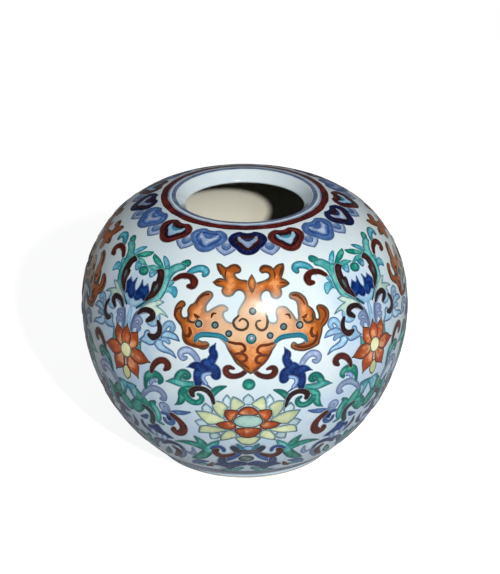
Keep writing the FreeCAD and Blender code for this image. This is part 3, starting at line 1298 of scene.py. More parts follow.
@dataclass
class PaintedRings:
    """The plain rings round the mouth and at the foot."""

    crest: tuple[float, float] = (-0.75, 1.3)
    halo: tuple[float, float] = (0.85, 0.6)
    red_band: tuple[float, float] = (2.15, 2.25)
    foot_line: tuple[float, float] = (95.2, 1.0)
    # The stone-grey band under the foot line: partly a painted band, partly painted shade where the body
    # turns under to the foot
    foot_shade: tuple[float, float] = (97.25, 2.9)
    steps: int = 360

    def ring(
        self, name: str, paint: Paint, band: tuple[float, float], unsteady: float, level: float
    ) -> None:
        """Paint a ring all round.

        Args:
            name: The piece's name.
            paint: Its enamel.
            band: Middle and width of the ring, in millimetres down the outline.
            unsteady: How much its edges waver.
            level: Height over the glaze.
        """
        work = Brushwork(name, once_round)
        turn = np.arange(self.steps + 1) * 2 * math.pi / self.steps
        middle, width = band
        cuts = np.array([-1.0, -0.93, -0.5, 0.0, 0.5, 0.93, 1.0])
        drift = unsteady * (np.sin(7 * turn) + 0.7 * np.sin(17 * turn + 1) + 0.6 * np.sin(31 * turn + 2))
        swell = 1 + unsteady * 0.5 * (np.sin(11 * turn + 3) + np.sin(23 * turn))
        down = middle + drift[:, None] * 0.3 + cuts[None, :] * width / 2 * swell[:, None]
        xs = np.repeat(turn[:, None] * POT.belly_r, len(cuts), axis=1)
        lift = np.where(np.abs(cuts) > 0.95, work.SINK, level)[None, :].repeat(len(turn), axis=0)
        blot = 0.25 * np.sin(13 * turn + 0.5) * np.sin(5 * turn)
        tone = np.clip(0.45 + 0.3 * np.abs(cuts)[None, :] ** 3 + blot[:, None], 0, 1)
        zero = np.zeros(xs.size)
        fields = [part.reshape(-1) for part in (xs, down, lift, tone)]
        work.put(paint, (*fields, zero, zero), grid_faces(*xs.shape))
        work.finish()

    def build(self) -> None:
        """Paint the rings."""
        self.ring("crest_ring", Paint.SLATE, self.crest, 0.06, 0.016)
        self.ring("crest_halo", Paint.LILAC, self.halo, 0.08, 0.01)
        self.ring("red_band", Paint.RED, self.red_band, 0.1, 0.014)
        self.ring("foot_line", Paint.INK, self.foot_line, 0.08, 0.016)
        # The stone-grey band is partly painted shade low on the body
        self.ring("foot_shade", Paint.STONE, self.foot_shade, 0.08, 0.01)


class HeartKind(Enum):
    """How a ruyi heart of the collar is coloured: its rim, its band, its crescent and the dab over that."""

    DARK = (Paint.NAVY, Paint.MAROON, Paint.LILAC, Paint.INK)
    RED = (Paint.RED, Paint.MAROON, Paint.FROST, Paint.TURQUOISE)
    BLUE = (Paint.HAZE, Paint.BLUE, Paint.LILAC, Paint.HAZE)


@dataclass
class RuyiCollar:
    """The collar of ruyi hearts under the mouth, with pale lappets behind the gaps."""

    pitch: float = 2 * HALF_ROUND / 16
    swing: float = 1.5
    middle: float = 8.3
    heart_line: float = 0.3
    heart: Places = closed_shape((
        (0, 4.9), (2.2, 4.7), (4.1, 4.35), (6.3, 4.75), (8.2, 5.6), (9.2, 6.8), (9.2, 7.9), (8.2, 9.2),
        (6.6, 10.3), (5.3, 10.9), (4, 11.9), (2.4, 12.7), (0.7, 13.05),
    ))
    crescent: Places = closed_shape((
        (0, 8.1), (1.8, 7.7), (3, 7), (3.8, 6.3), (5, 6.2), (5.2, 7.2), (4.4, 8.3), (2.9, 9), (1.8, 9.9),
        (0, 10.8),
    ))
    order: str = "DRBDRBDRBRBRDBRB"

    def shrunk(self, across: float, tall: float) -> Places:
        """The heart's outline drawn smaller about its middle."""
        return tuple((x * across, self.middle + (down - self.middle) * tall) for x, down in self.heart)

    def heart_marks(self, kind: HeartKind) -> list[list[Mark]]:
        """The marks of one heart, from its rim to its middle."""
        rim, band, inside, dab = kind.value
        inner = [Patch(band, self.shrunk(0.74, 0.72), False)]
        crescent = [Patch(inside, self.crescent, False)]
        touch = [Stroke(dab, ((-1.9, 7.2, 0.6), (-0.6, 7.7, 1.2), (0.6, 7.7, 1.2), (1.9, 7.2, 0.6)), False)]
        return [[Patch(rim, self.heart)], inner, crescent, touch]

    def lappet(self) -> list[list[Mark]]:
        """The marks of one lappet, between two hearts."""
        outer = [Patch(Paint.LILAC, closed_shape((
            (0, 7.6), (3, 8.2), (4.6, 9.8), (4.4, 11), (2.6, 12.4), (0, 13.5, 0),
        )))]
        inner = [Patch(Paint.HAZE, closed_shape((
            (0, 9), (1.6, 9.4), (2.5, 10.4), (1.7, 11.4), (0, 12),
        )), False)]
        pearl = [Stroke(Paint.LILAC, ((-0.8, 9.4, 0.8), (0, 9.6, 1.4), (0.8, 9.4, 0.8)), False)]
        return [shifted(marks, self.pitch / 2) for marks in (outer, inner, pearl)]

    def build(self) -> None:
        """Paint the hearts and lappets as one piece for each heart."""
        kinds = {kind.name[0]: kind for kind in HeartKind}
        for index, letter in enumerate(self.order):
            turn = index * self.pitch + self.swing
            work = Brushwork(f"ruyi_heart_{index + 1}", lambda x, down, turn=turn: (x + turn, down))
            for marks in self.lappet():
                work.draw(marks)
            for marks in self.heart_marks(kinds[letter]):
                work.draw(marks, wide=self.heart_line)
            work.finish()


# The painted motifs, drawn in millimetres from a panel's axis and down from the mouth


@dataclass
class Bat:
    """The bat at the middle of a panel, with its horned crest and its tail hooks."""

    panel: Panel
    middle: float = 0.5
    # Painted shade: how much deeper the bats of the other three panels are washed all over, for the shade
    # where the pot turns from the lamp
    side_painted_shade: float = 0.45

    right_wing: Places = (
        (0.2, 48.2, 0), (1.8, 47.3), (2.8, 46.3), (4.2, 45), (5.2, 43.3), (6.3, 41.5), (7.2, 40.3),
        (7.8, 39.3), (8.9, 38.4), (11, 38), (13.5, 38), (15.3, 38.2), (16.3, 38.8), (16.6, 39.6),
        (16.3, 40.3), (15.5, 40.7), (14, 40.8), (13.2, 40.1), (12.6, 40.2), (12.3, 41), (12.8, 41.6),
        (14, 42.2), (16, 42.6), (18.5, 42.2), (20.5, 41.5), (20.9, 40.5), (21.5, 39.3), (22, 38),
        (22.4, 36.9), (23.5, 36.2), (24.5, 35.3), (25.1, 34), (25.1, 32.5), (24, 31.2), (22.6, 30.7),
        (21.8, 31.1), (21.9, 31.9), (22.1, 33), (22, 34.2), (21.3, 34.7), (20.5, 34), (20.4, 32.5),
        (19.8, 31.2), (18.7, 30.2), (18.6, 29.2), (18.2, 27.8), (17, 26.5), (15.5, 25.9), (14, 25.9),
        (13.4, 26.4), (13.5, 27.1), (14.6, 27.6), (15.4, 28.4), (15.6, 29.6), (15.5, 31), (15.4, 32.8),
        (14.8, 34), (14, 33.2), (13, 31.5), (11.5, 29.8), (10, 29.4), (8.6, 29.8), (8.4, 31), (8.6, 33),
        (7.5, 33.9), (5.8, 33.4), (5.1, 31.8), (4.8, 30),
    )
    crest: Places = (
        (4.7, 28.6), (3.8, 27.4), (3.5, 26.6), (3.7, 25.5), (4.5, 24.6), (5.7, 24.2), (6.7, 24.5),
        (7.2, 25.2), (7.5, 26.1), (8.4, 26.7), (9.4, 26.6), (10.3, 26), (10.6, 24.9), (10.5, 24),
        (12.5, 23.4), (13.7, 22.9, 0), (12.9, 22.1), (11.9, 21.5), (11.3, 21), (12.2, 19.6), (13, 18.2),
        (13.2, 16.9, 0), (11.4, 17.1), (10.2, 17.7), (9.2, 18.3), (8.3, 17.5), (7, 17), (5.7, 16.9),
        (4.7, 17.4), (4.3, 18.2), (4.9, 18.9), (5.9, 18.8), (7.1, 19.1), (7.7, 19.9), (7.3, 20.8),
        (6.1, 21.4), (4.7, 21.8), (3.3, 22.1), (2.2, 22.4), (1, 22.6), (-0.2, 21.8), (-1.3, 21.4),
        (-2.5, 21.3), (-3.7, 21), (-4.7, 20.4), (-5.3, 19.6), (-5.1, 19), (-4.3, 18.9), (-3.5, 18.6),
        (-3.2, 18), (-3.5, 17.3), (-4.3, 16.7), (-5.5, 16.5), (-6.7, 16.8), (-7.7, 17.4), (-8.7, 17.7),
        (-9.7, 17.3), (-10.8, 16.7), (-12.1, 16.6, 0), (-11.1, 17.8), (-9.9, 19.2), (-8.8, 20.4),
        (-7.9, 21.3), (-8.9, 21.2), (-10.3, 21.1), (-11.3, 21.5), (-12.1, 22.2, 0), (-11.1, 22.8),
        (-9.7, 23.1), (-8.6, 23.4), (-8.9, 24.3), (-8.6, 25.1), (-7.8, 25.7), (-6.7, 25.8), (-5.6, 25.4),
        (-5, 24.7), (-4.4, 24.2), (-3.4, 23.9), (-2.2, 24.2), (-1.4, 25), (-1.1, 26.1), (-1.5, 27.2),
        (-2.4, 28.5), (-3.2, 30), (-3.5, 31.6),
    )
    left_wing: Places = (
        (-4.7, 33.2), (-6, 33.6), (-7.5, 32.8), (-8.3, 31.5), (-8.1, 30.4), (-7, 29.7), (-7.5, 29),
        (-9, 28.7), (-11, 29.6), (-13, 30.9), (-13.8, 30.5), (-13.9, 29), (-13, 27.5), (-12.2, 26.3),
        (-12.5, 25.4), (-13.7, 25.1), (-15.2, 25.7), (-16.5, 27), (-17.5, 28.8), (-18.8, 29.8), (-19.3, 31.2),
        (-18.8, 32.5), (-19.6, 33.4), (-21, 33.4), (-21.7, 32), (-21.5, 30.5), (-20.8, 29.7), (-21.3, 29),
        (-22.4, 29.1), (-23.4, 30.5), (-23.6, 32.3), (-22.8, 34), (-21.3, 34.8), (-20.8, 35.7), (-20.2, 37),
        (-20, 38.8), (-19.3, 40.2), (-18, 40.8), (-16.3, 40.5), (-15, 41.2), (-13.8, 41.5), (-12.6, 41),
        (-12.1, 40.2), (-12.7, 39.6), (-14.3, 39.6), (-15.6, 38.9), (-15.5, 38), (-14.6, 37.5), (-12.5, 37.2),
        (-10, 37.4), (-8.3, 38.2), (-7, 39.4), (-6.2, 41), (-5, 43), (-3.8, 45), (-2.3, 46.2), (-1.4, 47.1),
    )

    def wash(self, x: np.ndarray, down: np.ndarray) -> tuple[np.ndarray, np.ndarray]:
        """Thin the wash over the bat's shoulders, partly as a painted glow round the lamp's highlight, and
        deepen it at its horns, wing tips and tail, and all over as painted shade on the bats of the other
        three panels.

        Args:
            x: Drawn places across.
            down: Drawn places down.

        Returns:
            How thin and how much deeper the wash is.
        """
        aside = np.abs(x - self.middle)
        # Paler over the shoulders: partly a thinner enamel, partly a painted glow round the lamp's highlight
        high = smooth_step(23.0, 29.0, down) * (1 - smooth_step(37.0, 42.0, down))
        thin = 0.72 * high * (1 - smooth_step(7.0, 20.0, aside))
        horns = 0.55 * (1 - smooth_step(16.5, 20.5, down))
        horns = horns + 0.4 * smooth_step(9.5, 13.0, aside) * (down < 25)
        wing_ends = 0.5 * smooth_step(17.0, 22.5, aside)
        wing_ends = wing_ends + 0.5 * smooth_step(38.5, 41.5, down) * smooth_step(9, 12, aside)
        wing_ends += 0.6 * (1 - smooth_step(25.8, 28.8, down)) * smooth_step(11, 12, aside) * (down > 25)
        tail = smooth_step(40.5, 47.0, down) * (0.2 + 0.22 * aside) * (aside < 9)
        # The last term is painted shade, which deepens the whole bat on every panel but the front one
        return thin, horns + wing_ends + tail + (self.side_painted_shade if self.panel.sway else 0.0)

    @staticmethod
    def other_side(marks: Iterable[Mark]) -> list[Mark]:
        """The same marks on the left, where the painter set them nearer in and higher."""
        return mirrored(shifted(marks, -0.8, -0.6))

    def shading(self) -> list[Mark]:
        """Dark washes along the crest's tips, the wings' edges and the tail."""
        places = (
            ((13, 17.3, 0.3), (12.1, 18.7, 0.8), (11, 20.3, 0.3)),
            ((13.4, 22.8, 0.3), (12, 22.5, 0.7), (10.4, 22.4, 0.2)),
            ((9.2, 18.6, 0.3), (9.4, 20, 0.6), (9, 21.2, 0.2)),
            ((4.7, 18, 0.5), (5.8, 17.3, 0.6), (7.2, 17.5, 0.5), (8.3, 18.3, 0.3)),
            ((14.2, 26.4, 0.6), (15.8, 26.7, 0.9), (17.1, 27.9, 0.7), (17.8, 29.6, 0.3)),
            ((22.8, 31.3, 0.5), (23.9, 32, 0.8), (24.3, 33.6, 0.8), (23.3, 35, 0.5), (22, 36.2, 0.3)),
            (
                (20.6, 38, 0.4), (20.2, 39.8, 0.9), (18.8, 41.2, 0.9), (16.4, 41.7, 0.9), (14.4, 41.4, 0.8),
                (13.1, 40.8, 0.4),
            ),
            ((6.4, 42, 0.3), (4.7, 44.4, 0.8), (2.6, 46.3, 0.8), (1, 47.4, 0.4)),
        )
        right = [Stroke(Paint.UMBER, run, False) for run in places]
        return right + self.other_side(right)

    def veins(self) -> list[Mark]:
        """Dark commas and curls over the wings and the body."""
        right = [
            Stroke(Paint.UMBER, ((16.4, 33.1, 0.5), (17.3, 33, 1.1), (18, 32.4, 0.4)), False),
            Stroke(Paint.OLIVE_LINE, (
                (19.9, 32.6, 0.5), (19.5, 34.6, 0.8), (17.7, 34.8, 0.7), (16.8, 33.8, 0.7),
            ), False),
            Stroke(Paint.UMBER, ((11.2, 31.6, 0.4), (12.2, 31.8, 0.8), (12.5, 32.8, 0.5)), False),
            Stroke(Paint.UMBER, (
                (19.1, 36.6, 0.7), (18.6, 37.8, 1.1), (19.2, 39, 1.1), (20.6, 38.8, 0.5),
            ), False),
            Stroke(Paint.UMBER, (
                (6.9, 39.5, 0.8), (5, 39.9, 0.9), (3.3, 40, 0.9), (2.3, 40.8, 0.9), (2.3, 41.9, 0.9),
                (3.3, 42.4, 0.7),
            ), False),
            Stroke(Paint.UMBER, (
                (5.4, 43.1, 0.8), (4.4, 42.9, 0.9), (3, 42.9, 0.9), (1.9, 43.6, 1), (1.9, 44.8, 1),
                (3, 45.3, 0.8),
            ), False),
        ]
        spirals = [
            Stroke(Paint.OLIVE_LINE, (
                (-3.4, 31.4, 0.6), (-4.8, 32.7, 0.7), (-4.8, 33.9, 0.8), (-3.9, 35, 0.8), (-2.3, 35.4, 0.8),
                (-0.9, 34.8, 0.8), (-0.5, 33.6, 0.7), (-1.1, 32.6, 0.7), (-2.3, 32.2, 0.6), (-3.1, 32.8, 0.6),
            ), False),
            Stroke(Paint.OLIVE_LINE, (
                (5.3, 31.6, 0.6), (5.4, 33.5, 0.8), (4.9, 35, 0.8), (3.7, 35.6, 0.8), (2.4, 35, 0.8),
                (1.9, 33.8, 0.7), (2.3, 33, 0.6), (3.2, 32.8, 0.6),
            ), False),
        ]
        return right + self.other_side(right) + spirals

    def spots(self, work: Brushwork) -> None:
        """Paint the spots on the bat, and the green pearl under it with a painted highlight near its top."""
        for side, x, down in ((1, 0.0, 0.7), (-1, 0.2, 0.0)):
            work.dot(Paint.SPOT, side * (10.2 + x), 34.3 + down, 1.7)
            work.dot(Paint.SPOT, side * (15.2 + x), 34.4 + down, 1.9)
            work.dot(Paint.SPOT, side * (6.0 + x), 36.5 + down, 1.6)
        work.dot(Paint.GREEN, 0.4, 37.9, 2.6)
        # A pale dot on the green pearl: a painted highlight
        work.dot(Paint.AQUA, 0.5, 37.7, 1.2)
        work.dot(Paint.SPOT, 1.0, 30.1, 1.8)
        work.dot(Paint.GREEN, -0.3, 51.8, 3.3)

    def build(self) -> None:
        """Paint the bat."""
        work = Brushwork(f"bat_{self.panel.name}", self.panel.lay)
        hooks = [Stroke(Paint.BROWN, (
            (1, 47.4, 1), (2.8, 49, 1.2), (4.8, 49.6, 1.4), (6.4, 49.3, 1.6), (7.2, 48.2, 1.6),
            (7, 47.1, 1.4), (6, 46.8, 1.1), (5.1, 47.1, 0.6),
        ))]
        work.draw(hooks + mirrored(shifted(hooks, -0.3, -0.3)))
        spike = Patch(Paint.ORANGE, (
            (1, 19.6, 0), (1.8, 20.8), (2.3, 22.3), (1.7, 23.8), (0.9, 24.8), (0.2, 23.6), (-0.3, 22.2),
            (0.1, 20.8),
        ))
        body = Patch(Paint.ORANGE, self.right_wing + self.crest + self.left_wing)
        work.draw([body], self.wash, 0.46)
        work.draw([spike], wide=0.3)
        work.draw(self.shading())
        work.draw(self.veins())
        bands = [Stroke(Paint.TURQUOISE, (
            (7.6, 39, 0.6), (9.4, 38, 0.9), (12, 37.8, 0.9), (15, 38, 0.95), (16.5, 38.9, 0.8),
            (16.9, 40, 0.4),
        ))]
        work.draw(bands + self.other_side(bands), wide=0.42)
        self.spots(work)
        work.finish()


@dataclass
class BlueBlossoms:
    """The two cobalt blossoms that flank a bat's tail, with their lilac curls and green leaves."""

    panel: Panel

    def right(self) -> list[list[Mark]]:
        """The marks to the right of the tail."""
        lilac = [Stroke(Paint.LILAC, (
            (15, 47.6, 1.2), (15.6, 46, 1.5), (16.9, 44.6, 1.6), (18.6, 44, 1.7), (20.2, 44.8, 1.7),
            (20.5, 46, 1.5), (19.7, 46.8, 1.2), (18.9, 46.4, 0.8),
        ))]
        blossom = [Stroke(Paint.COBALT, places) for places in (
            ((12.4, 48.4, 3), (11.3, 46.4, 2.4), (10.5, 44.6, 2.1), (10.9, 43, 1.9), (10.2, 41.3, 0)),
            ((12.3, 48, 3), (10.4, 49, 3.3), (9.9, 50.6, 2.9)),
            ((12.6, 47.6, 3.4), (13.6, 48.9, 3.6), (14.5, 50.4, 3.4), (14.9, 52.4, 3), (15.2, 54.2, 1.8)),
            ((13.8, 49, 3), (15.4, 48.4, 2.6), (16.9, 48.6, 1.4), (18.1, 49.1, 0)),
        )]
        arc = [Stroke(Paint.SKY, (
            (11.7, 50.3, 0.7), (13.2, 50.9, 0.8), (13.6, 52.2, 0.8), (12.7, 53.7, 0.7),
        ))]
        calyx = [Stroke(Paint.BLUE, (
            (11.3, 55.2, 0.5), (13, 54, 0.9), (14.6, 53.8, 0.9), (16.5, 54, 0.7), (18.4, 54.6, 0.4),
        ), False)]
        leaves = [
            Stroke(Paint.GREEN, ((11.2, 57.2, 1.8), (9.9, 55.7, 1.7), (8.6, 54.8, 1.3), (7.1, 54.2, 0.3))),
            Stroke(Paint.GREEN, (
                (21.5, 54, 2.2), (20.9, 52.4, 2), (19.9, 51.2, 1.7), (18.7, 51, 1.5), (18, 51.8, 1.4),
                (18.4, 52.6, 1.2), (19.2, 52.8, 0.9),
            )),
            Stroke(Paint.MINT, ((16.4, 54.4, 1.2), (19.5, 54.9, 2.1), (22.5, 54.7, 1.9), (24.9, 55.2, 0))),
            Stroke(Paint.GREEN, (
                (16, 55.5, 1.1), (18.6, 56.3, 1.9), (20.1, 58, 2.3), (20.4, 60, 2.1), (21.3, 61.8, 1.4),
                (22.7, 62.9, 0),
            )),
            Stroke(Paint.GREEN, (
                (19.4, 58.6, 2), (18.3, 60, 2), (16.9, 60.8, 1.8), (15.3, 60.6, 1.6), (14.3, 59.5, 1.4),
                (14.3, 58.3, 1.1), (15.1, 57.8, 0.7),
            )),
        ]
        curl = [Stroke(Paint.DARK, (
            (10.7, 60.2, 0.6), (11.2, 58, 1), (12.2, 56.4, 1.3), (14, 55.6, 1.3), (16, 55.9, 1.4),
            (17.2, 57, 1.5), (17, 58.2, 1.2),
        ))]
        return [lilac, calyx, leaves, blossom, arc, curl]

    def build(self) -> None:
        """Paint both sides."""
        work = Brushwork(f"blue_blossoms_{self.panel.name}", self.panel.lay)
        for marks in self.right():
            work.draw(marks)
        for marks in self.right():
            work.draw(mirrored(shifted(marks, -0.1, -1.5)))
        work.finish()


@dataclass
class LowerLotus:
    """The open lotus under a bat, with its cup, its leaves and the stem below."""

    panel: Panel
    middle: float = -0.45

    def outer(self) -> list[list[Mark]]:
        """The pale petals round the flower, right side, from the middle."""
        tips = [Patch(Paint.AQUA, places) for places in (
            ((6.2, 55.8, 0), (7.2, 57.6), (7, 59.6), (5.4, 59.6), (5.2, 57.4)),
            ((12.6, 59.4, 0), (13.6, 60.9), (13.2, 62.6), (11.2, 62.6), (11, 61)),
            ((16.3, 66.8, 0), (15.2, 68.4), (13.2, 68.6), (12.6, 66.6), (14.6, 65.8)),
            ((12, 73.6, 0), (10.4, 73.4), (9, 72), (10, 70.8), (12, 71.6)),
        )]
        petals = (
            (
                (8.7, 73.9, 0), (8.5, 72.1), (7.4, 70.4), (5.8, 69.4), (4.5, 69.6), (3.8, 71.2), (4.3, 72.2),
                (6.7, 73.3),
            ),
            (
                (6.9, 69), (9, 68.4), (11, 68.1), (13.2, 68.1), (14.9, 68.8), (15.6, 71.2, 0), (13.2, 71),
                (10.8, 70.7), (8.6, 70),
            ),
            (
                (7, 65), (8.5, 63.9), (10.4, 62.9), (12.6, 62.4), (15.6, 62.6, 0), (14.6, 64.4), (13.4, 65.9),
                (12.2, 67), (10.8, 66.9), (9.2, 66.2), (7.8, 65.5),
            ),
            (
                (10.5, 58.4, 0), (8.6, 58.2), (7, 59), (6.2, 60.2), (6.8, 61), (7.3, 62.6), (7.5, 64),
                (9, 62.8), (10.2, 60.8),
            ),
            (
                (1.2, 58.8), (2.2, 57.6), (3.4, 56.7), (4.3, 56.3, 0), (4.9, 57.6), (5.1, 59.4), (5, 60.8),
                (3.8, 61), (2.4, 59.8),
            ),
        )
        return [tips, *([Patch(Paint.YELLOW, places)] for places in petals)]

    def inner(self) -> list[list[Mark]]:
        """The orange petals, right side, from the middle."""
        upper = (
            (2.8, 61.5), (4.1, 61), (5.6, 60.9), (6.8, 61.3, 0), (6.9, 62.8), (6.4, 64.3), (5.3, 65.2),
            (4.2, 64),
        )
        side = (
            (4.6, 65.6), (6.6, 65.5), (8.4, 66), (9.9, 66.9, 0), (8.4, 68.1), (6.4, 68.6), (4.6, 68.5),
            (3.8, 67.4),
        )
        return [[Patch(Paint.PETAL, side)], [Patch(Paint.PETAL, upper)]]

    def wash(self, x: np.ndarray, down: np.ndarray) -> tuple[np.ndarray, np.ndarray]:
        """Deepen the wash of the orange petals towards their tips."""
        away = np.hypot((x - self.middle) / 1.6, down - 65.2)
        return np.zeros_like(x), 0.7 * smooth_step(3.0, 6.6, away)

    def build(self) -> None:
        """Paint the lotus."""
        work = Brushwork(f"lower_lotus_{self.panel.name}", self.panel.lay)
        middle = self.middle
        top = closed_shape(((0.1, 55.3, 0), (1.3, 56.6), (1.3, 58.4), (0.1, 58.9)))
        work.draw(shifted([Patch(Paint.AQUA, top)], middle))
        for marks in self.outer():
            work.draw(shifted(marks + mirrored(marks), middle), wide=0.5)
        base = closed_shape(((0, 71.6), (3.6, 72.4), (3, 74), (1.8, 75.3), (0, 75.7)))
        work.draw(shifted([Patch(Paint.YELLOW, base)], middle), wide=0.5)
        for marks in self.inner():
            work.draw(shifted(marks + mirrored(marks), middle), self.wash)
        dome = closed_shape(((0, 59.6), (1.6, 60.1), (2.6, 61.2), (2.9, 62.4), (0, 62.7)))
        bottom = closed_shape(((0, 67.9), (3.9, 68.4), (3.5, 69.9), (2.3, 71.5), (0.7, 72.2)))
        for places in (dome, bottom):
            work.draw(shifted([Patch(Paint.PETAL, places)], middle), self.wash)
        work.dot(Paint.POOL, middle, 65.2, 8.4, 5.0)
        self.below(work)
        work.finish()

    def below(self, work: Brushwork) -> None:
        """Paint the cup band, the leaves and curls under the flower."""
        spray = [
            Stroke(Paint.GREEN, ((13, 80, 2.4), (14.3, 78.5, 2.5), (15.3, 76, 2.4), (16.9, 73.8, 0.6))),
            Stroke(Paint.GREEN, (
                (13.6, 79.6, 2.4), (16.5, 78.1, 2.6), (19, 77.5, 2.2), (22, 77.6, 1.2), (24.9, 78.2, 0),
            )),
            Stroke(Paint.GREEN, (
                (13, 79.6, 2.4), (14.6, 82, 2.8), (16.6, 84.2, 2.8), (19, 85.8, 1.9), (21, 86.9, 0.4),
            )),
            Stroke(Paint.MINT, ((13.6, 80.2, 2.6), (12.2, 78.2, 2.7), (10.7, 76.2, 2), (9.2, 74.4, 0.5))),
        ]
        curl = [Stroke(Paint.BLUE, (
            (12, 78.6, 1), (10.5, 77.4, 1.1), (9, 77.3, 1.1), (7.9, 78.3, 1), (7.8, 79.4, 0.8),
        ))]
        brown = [Stroke(Paint.BROWN, (
            (4, 80.3, 0.5), (5, 81.3, 1), (7, 82.2, 1.5), (9, 82.5, 1.8), (10.5, 81.5, 1.8), (11, 80, 1.7),
            (10.3, 79, 1.4),
        ))]
        stem = [Stroke(Paint.BLUE, ((2.4, 80.6, 1.2), (4.5, 83, 1.5), (7, 84.7, 1.5), (9.2, 86.4, 1.2)))]
        flower = [Stroke(Paint.INK, places) for places in (
            ((1.2, 87.3, 2.6), (3, 87.2, 3.4), (5, 88.2, 3.4), (7, 88.8, 3.6)),
            ((8.8, 84.2, 2), (9.2, 86.5, 2.6), (8.4, 88.8, 3.2)),
            ((8.6, 88.6, 3), (11, 88.8, 2), (13.2, 89.4, 0)),
            ((6.6, 88.8, 3.2), (6.7, 90.8, 2.4), (6.8, 92.6, 0.4)),
        )]
        leaf = [Stroke(Paint.MINT, ((2, 91, 1.2), (4.4, 92.4, 2), (7.4, 93.6, 2), (10.6, 93, 0)))]
        for marks in (stem, spray, curl, leaf, flower, brown):
            work.draw(marks + mirrored(marks, self.middle))
        uprights = [Stroke(Paint.TURQUOISE, ((1.6, 78.6, 1), (2.4, 76.9, 1.2), (3.4, 75.6, 0.6)))]
        work.draw(shifted(uprights + mirrored(uprights), self.middle))
        work.dot(Paint.FROST, self.middle + 0.2, 77.3, 2.8, 2.0)
        cup = [Stroke(Paint.CUP, (
            (-4.7, 77.3, 2), (-3.4, 78.9, 1.9), (-1, 79.5, 2), (1, 79.5, 2), (3.4, 78.9, 2), (4.6, 77.5, 2.2),
        ))]
        work.draw(shifted(cup, self.middle))
        work.dot(Paint.SPOT, -0.9, 83.4, 4.2, 3.2)


@dataclass
class UpperLotus:
    """The round orange lotus between two bats, with the cup and florets that rise over it."""

    panel: Panel

    def petals(self) -> list[list[Mark]]:
        """The petals to the right of the flower's middle, and the one above it."""
        return [
            [Patch(Paint.SEED, (
                (0, 53), (1.3, 54.4), (1.2, 56.4), (0, 57.6, 0), (-1.2, 56.4), (-1.3, 54.4),
            ))],
            [Stroke(Paint.PETAL, ((1.3, 49.6, 2), (2.3, 51.2, 3.9), (3.2, 53, 4.2), (4.5, 55.5, 0)))],
            [Stroke(Paint.PETAL, ((1.8, 48.1, 2), (4, 48.4, 4.2), (6.2, 48.5, 3.9), (9, 48.8, 0)))],
            [Stroke(Paint.PETAL, ((1.2, 46.6, 2), (2.3, 44.9, 3.9), (3.2, 43.2, 3.7), (4.3, 41.2, 0)))],
        ]

    def build(self) -> None:
        """Paint the lotus with its stems and florets."""
        turn = self.panel.axis + self.panel.right
        sway = self.panel.sway

        def lay(x: np.ndarray, down: np.ndarray) -> tuple[np.ndarray, np.ndarray]:
            """Carry places about the lotus to the pot."""
            return turn + x, down + 0.15 * np.sin(0.3 * x + sway)

        work = Brushwork(f"upper_lotus_{self.panel.name}", lay)
        pool = [Patch(Paint.FROST, closed_shape((
            (0, 31), (3, 30.4), (5.6, 30.2), (4, 32.6), (2.2, 34.2), (0, 34.6),
        )), False)]
        work.draw(pool)
        stems = [
            Stroke(Paint.LILAC, (
                (1.8, 41, 1), (2, 38.6, 1.1), (3, 36, 1.1), (5.5, 34.3, 1.1), (8.4, 33.8, 0.8),
            )),
            Stroke(Paint.SLATE, ((1.7, 41.4, 0.7), (1.8, 39.4, 0.8), (2.2, 37, 0.8), (3.7, 35, 0.7)), False),
            Stroke(Paint.TEAL_LINE, ((6, 30, 0.6), (4.4, 32.4, 0.8), (2.2, 34.4, 0.8)), False),
        ]
        combs = [
            Stroke(Paint.LILAC, ((2.6, 38, 0.6), (3.6, 37, 1.3), (5, 37.6, 1.1), (4.4, 38.6, 0.7))),
            Stroke(Paint.LILAC, ((2.4, 40, 0.6), (3.5, 39.2, 1.3), (4.8, 39.7, 1.1), (4.2, 40.5, 0.7))),
        ]
        work.draw([Stroke(Paint.FROST, ((0, 34.8, 1.2), (0, 37, 1.8), (0, 41, 1.8)), False)])
        for marks in (stems, combs):
            work.draw(marks + mirrored(marks))
        floret = [Patch(Paint.COBALT, (
            (5.9, 29.8), (5, 28.2), (3.9, 26.8, 0), (2.8, 27.8), (2, 27.4), (1.3, 26.2, 0), (1.2, 28),
            (0.6, 29.4), (-0.1, 30.2), (0, 31.6), (1, 32.4), (2.2, 32), (3.2, 31.2), (4.6, 31.6),
        ))]
        work.draw(floret + mirrored(floret))
        work.dot(Paint.GREEN, 0, 23.6, 3.4, 2.5)
        for marks in self.petals():
            work.draw(marks + mirrored(marks), self.wash, 0.42)
        top = Stroke(Paint.PETAL, ((0, 46.6, 2), (0, 44.4, 3.6), (0, 42.6, 3.2), (0, 40.4, 0)))
        work.draw([top], self.wash, 0.42)
        work.dot(Paint.SEED, 0.2, 47.9, 4.2, 4.6)
        work.finish()

    @staticmethod
    def wash(x: np.ndarray, down: np.ndarray) -> tuple[np.ndarray, np.ndarray]:
        """Deepen the petals' wash towards their tips."""
        return np.zeros_like(x), 0.8 * smooth_step(4.0, 8.0, np.hypot(x, down - 48.1))


